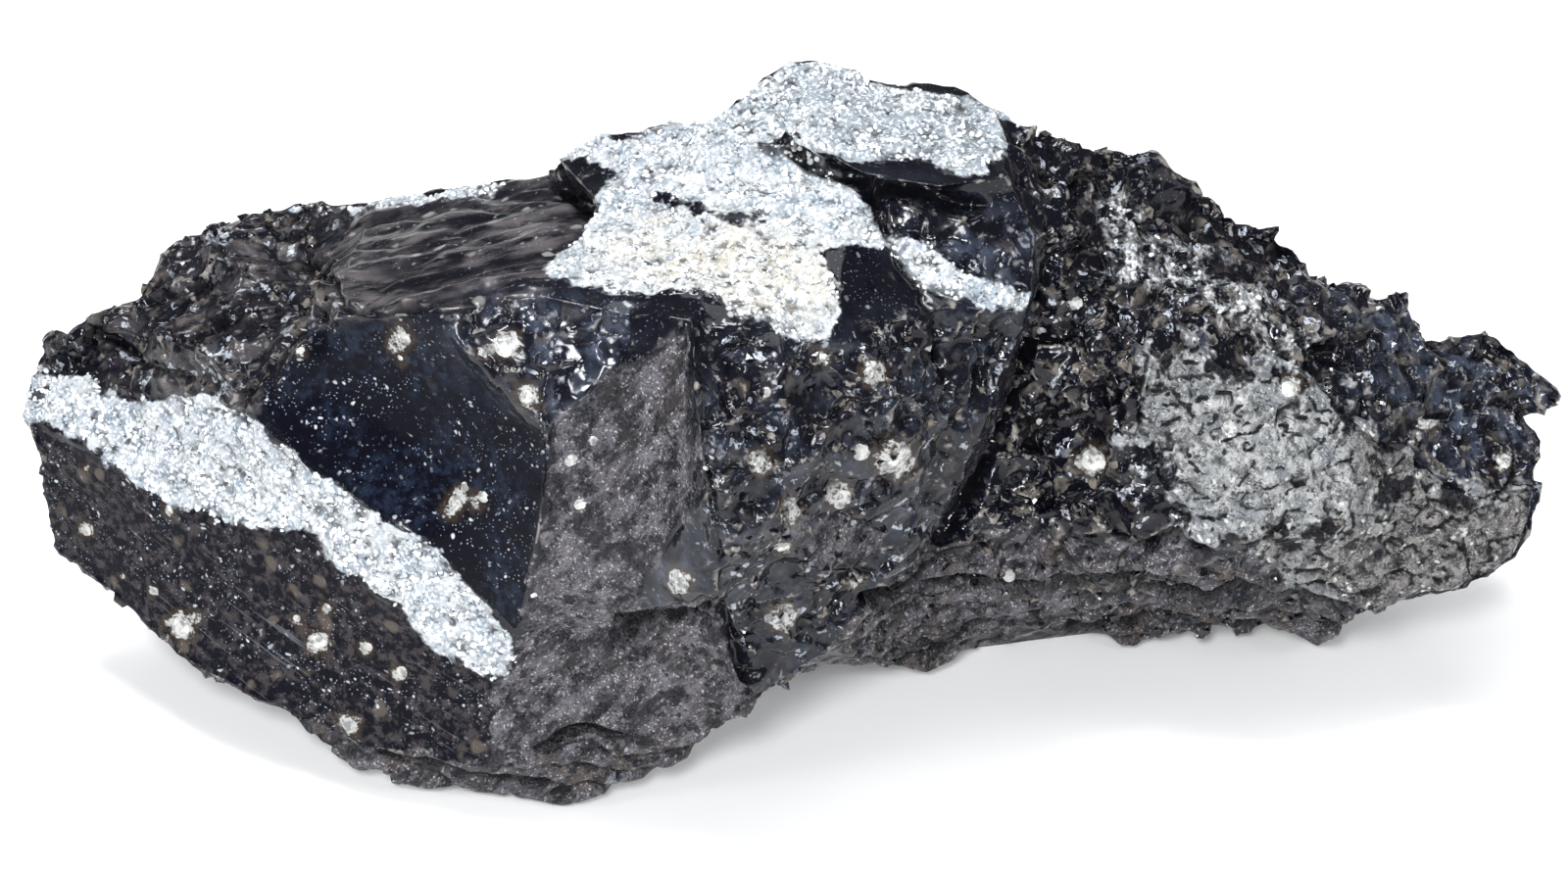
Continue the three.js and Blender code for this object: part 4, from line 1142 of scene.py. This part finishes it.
def built_stone():
    """The stone's surface, all its pieces together, and the numbers stored at its points."""
    pieces = [item.data for item in bpy.context.scene.objects if item.name.startswith("stone")]
    if not pieces:
        raise RuntimeError("Build the stone first")
    surfaces = [Surface(mesh) for mesh in pieces]
    whole = surfaces[0]
    starts = np.cumsum([0] + [len(part.points) for part in surfaces])
    whole.triangles = np.concatenate([part.triangles + start for part, start in zip(surfaces, starts)])
    whole.edges = np.concatenate([part.edges + start for part, start in zip(surfaces, starts)])
    whole.points = np.concatenate([part.points for part in surfaces])
    whole.edge_count = np.bincount(whole.edges.ravel(), minlength=len(whole.points))
    numbers = {
        name: np.concatenate([stored(mesh, name) for mesh in pieces])
        for name in ("seen", "pale", "streak", "rough", "grey")
    }
    return numbers, whole


def spherulite(place, normal, radius, rng):
    scale = radius * rng.uniform(0.8, 1.15, 3)
    scale[2] = radius * rng.uniform(0.18, 0.36)
    matrix = standing(place - normal * scale[2] * 0.45, normal, rng.uniform(0, 6.3), scale)
    jitter = rng.normal(0, radius * 0.05, (162, 3))

    def make(bm):
        made = bmesh.ops.create_icosphere(bm, subdivisions=3, radius=1.0, matrix=matrix)["verts"]
        for vertex, shift in zip(made, jitter):
            vertex.co += Vector(shift)
        bmesh.ops.smooth_vert(bm, verts=made, factor=0.4, use_axis_x=True, use_axis_y=True, use_axis_z=True)

    return make


def build_spherulites():
    settings = bpy.context.scene.obsidian_pieces
    stored_at, surface = built_stone()
    rng = np.random.default_rng(12)
    tree = surface.tree()
    smooth = surface.spread(surface.normals(), 4)
    found = []
    for column, row, radius in SPHERULITES:
        if radius < 6:
            continue
        place, _, triangle, _ = tree.ray_cast(camera_place(), sight_line(column, row))
        if place is not None:
            normal = Vector(smooth[surface.triangles[triangle]].mean(0)).normalized()
            found.append((place, normal, 0.8 * radius / PIXELS_PER_METRE))
    weights = np.where(stored_at["seen"] > 0.5, 0.12, 1.0)
    weights *= (stored_at["pale"] < 0) * (surface.points[:, 2] > 2 * MM)
    places, normals = scattered_places(surface, weights, settings.hidden_spherulites, rng)
    for place, normal in zip(places, normals):
        found.append((Vector(place), Vector(normal), rng.uniform(0.3, 1.4) ** 1.3 * MM))
    bm = joined([spherulite(*item, rng) for item in found])
    for face in bm.faces:
        face.smooth = True
    return finished_piece(bm, "spherulites", spherulite_material(settings.spherulite_colour))


def grain(place, normal, rng):
    size = rng.uniform(0.12, 0.34) * MM
    lean = unit(normal + rng.normal(0, 0.6, 3))
    scale = size * rng.uniform(0.6, 1.6, 3)
    matrix = standing(Vector(place), lean, rng.uniform(0, 6.3), scale)

    def make(bm):
        bmesh.ops.create_icosphere(bm, subdivisions=1, radius=1.0, matrix=matrix)

    return make


def build_grains():
    settings = bpy.context.scene.obsidian_pieces
    stored_at, surface = built_stone()
    rng = np.random.default_rng(21)
    weights = smooth_step(-0.3, 0.6, stored_at["pale"]) + 0.15 * smooth_step(-0.5, 1.0, stored_at["streak"])
    places, normals = scattered_places(surface, weights, settings.grain_count, rng)
    bm = joined([grain(place, normal, rng) for place, normal in zip(places, normals)])
    return finished_piece(bm, "sugar_grains", grain_material(bpy.context.scene.obsidian_stone))


def splinter(place, normal, rng):
    width = rng.uniform(0.35, 1.15) * MM
    lean = unit(normal + rng.normal(0, 0.45, 3))
    scale = (width, width * rng.uniform(0.5, 1.0), width * rng.uniform(0.3, 0.7))
    matrix = standing(Vector(place), lean, rng.uniform(0, 6.3), scale)
    sides = int(rng.integers(4, 7))
    jitter = rng.normal(0, width * 0.14, (sides * 2, 3))

    def make(bm):
        flake = bmesh.ops.create_cone(
            bm, cap_ends=True, cap_tris=True, segments=sides, radius1=1.0, radius2=0.35, depth=1.4, matrix=matrix
        )["verts"]
        for vertex, shift in zip(flake, jitter):
            vertex.co += Vector(shift)

    return make


def build_splinters():
    settings = bpy.context.scene.obsidian_pieces
    stored_at, surface = built_stone()
    rng = np.random.default_rng(33)
    weights = smooth_step(0.35, 0.9, stored_at["rough"]) * (stored_at["pale"] < 0) * (surface.points[:, 2] > 3 * MM)
    weights *= 1 - 0.8 * smooth_step(-1, 1, stored_at["grey"])
    places, normals = scattered_places(surface, weights, settings.splinter_count, rng)
    bm = joined([splinter(place, normal, rng) for place, normal in zip(places, normals)])
    return finished_piece(bm, "glass_splinters", splinter_material(bpy.context.scene.obsidian_stone))


# Stage


def soft_light(name, place, width, power, target):
    data = bpy.data.lights.new(name, "AREA")
    data.shape = "DISK"
    data.size = width
    data.energy = power
    data.color = (0.94, 0.965, 1.0)
    lamp = bpy.data.objects.new(name, data)
    lamp.location = place
    lamp.rotation_euler = (Vector(target) - Vector(place)).to_track_quat("-Z", "Y").to_euler()
    bpy.context.scene.collection.objects.link(lamp)
    return lamp


def build_stage():
    settings = bpy.context.scene.obsidian_stage
    bm = bmesh.new()
    bmesh.ops.create_grid(bm, x_segments=1, y_segments=1, size=2.0)
    floor_mesh = bpy.data.meshes.new("floor")
    bm.to_mesh(floor_mesh)
    bm.free()
    shader = Shader("pale_floor")
    shader.join(settings.floor_colour, shader.principled.inputs["Base Color"])
    shader.principled.inputs["Roughness"].default_value = 0.6
    floor_mesh.materials.append(shader.material)
    floor = bpy.data.objects.new("floor", floor_mesh)
    bpy.context.scene.collection.objects.link(floor)

    middle = Vector((0, 0, 35)) * MM
    soft_light("ceiling", Vector((0.05, 0.20, 0.90)), 0.70, settings.ceiling_power, middle)
    soft_light("overhead", Vector((-0.15, 0.10, 0.75)), 0.22, settings.overhead_power, middle)
    soft_light("side", Vector((-0.50, -0.25, 0.35)), 0.15, settings.side_power, middle)
    soft_light("right", Vector((0.42, -0.30, 0.42)), 0.15, settings.side_power, middle)
    soft_light("front", camera_place() + Vector((-0.05, 0.0, 0.08)), 0.10, 0.6 * settings.front_power, middle)
    soft_light("low", Vector((-0.08, -0.50, 0.22)), 0.12, 0.6 * settings.front_power, middle)

    world = bpy.data.worlds.new("room")
    world.use_nodes = True
    world.node_tree.nodes["Background"].inputs["Color"].default_value = (0.95, 0.97, 1.0, 1.0)
    world.node_tree.nodes["Background"].inputs["Strength"].default_value = 0.20
    bpy.context.scene.world = world

    bpy.context.scene.view_settings.view_transform = "Standard"

    lens = bpy.data.cameras.new("camera")
    lens.sensor_width = SENSOR_WIDTH
    lens.lens = SENSOR_WIDTH * VIEW_DISTANCE * PIXELS_PER_METRE / PHOTO_WIDTH
    lens.clip_start = 0.01
    camera = bpy.data.objects.new("camera", lens)
    camera.location = camera_place()
    camera.rotation_euler = (math.pi / 2 - VIEW_ELEVATION, 0, 0)
    bpy.context.scene.collection.objects.link(camera)
    bpy.context.scene.camera = camera


class OBSIDIAN_OT_stone(bpy.types.Operator):
    """Build the stone's broken, banded surface over its solid"""

    bl_idname = "obsidian.stone"
    bl_label = "Stone"

    def execute(self, context):
        build_stone()
        return {"FINISHED"}


class OBSIDIAN_OT_spherulites(bpy.types.Operator):
    """Set the pale spherulites in the glass"""

    bl_idname = "obsidian.spherulites"
    bl_label = "Spherulites"

    def execute(self, context):
        build_spherulites()
        return {"FINISHED"}


class OBSIDIAN_OT_grains(bpy.types.Operator):
    """Scatter sugary grains over the pale bands"""

    bl_idname = "obsidian.grains"
    bl_label = "Sugar grains"

    def execute(self, context):
        build_grains()
        return {"FINISHED"}


class OBSIDIAN_OT_splinters(bpy.types.Operator):
    """Scatter small flakes over the rough glass"""

    bl_idname = "obsidian.splinters"
    bl_label = "Glass splinters"

    def execute(self, context):
        build_splinters()
        return {"FINISHED"}


class OBSIDIAN_OT_stage(bpy.types.Operator):
    """Lay the floor, hang the lights and place the camera"""

    bl_idname = "obsidian.stage"
    bl_label = "Stage"

    def execute(self, context):
        build_stage()
        return {"FINISHED"}


class OBSIDIAN_PT_panel(bpy.types.Panel):
    bl_label = "Obsidian specimen"
    bl_idname = "OBSIDIAN_PT_panel"
    bl_space_type = "VIEW_3D"
    bl_region_type = "UI"
    bl_category = "Obsidian"

    def draw(self, context):
        for settings in (context.scene.obsidian_stone, context.scene.obsidian_pieces, context.scene.obsidian_stage):
            box = self.layout.box()
            for name in settings.bl_rna.properties.keys():
                if name not in ("rna_type", "name"):
                    box.prop(settings, name)
        for operator in OPERATORS:
            self.layout.operator(operator.bl_idname)


OPERATORS = (
    OBSIDIAN_OT_stone,
    OBSIDIAN_OT_spherulites,
    OBSIDIAN_OT_grains,
    OBSIDIAN_OT_splinters,
    OBSIDIAN_OT_stage,
)
CLASSES = (ObsidianStone, ObsidianPieces, ObsidianStage, *OPERATORS, OBSIDIAN_PT_panel)


def register():
    for item in CLASSES:
        bpy.utils.register_class(item)
    bpy.types.Scene.obsidian_stone = PointerProperty(type=ObsidianStone)
    bpy.types.Scene.obsidian_pieces = PointerProperty(type=ObsidianPieces)
    bpy.types.Scene.obsidian_stage = PointerProperty(type=ObsidianStage)


def unregister():
    del bpy.types.Scene.obsidian_stage
    del bpy.types.Scene.obsidian_pieces
    del bpy.types.Scene.obsidian_stone
    for item in reversed(CLASSES):
        bpy.utils.unregister_class(item)


def main():
    register()
    bpy.ops.obsidian.stone()
    bpy.ops.obsidian.spherulites()
    bpy.ops.obsidian.grains()
    bpy.ops.obsidian.splinters()
    bpy.ops.obsidian.stage()


if __name__ == "__main__":
    main()
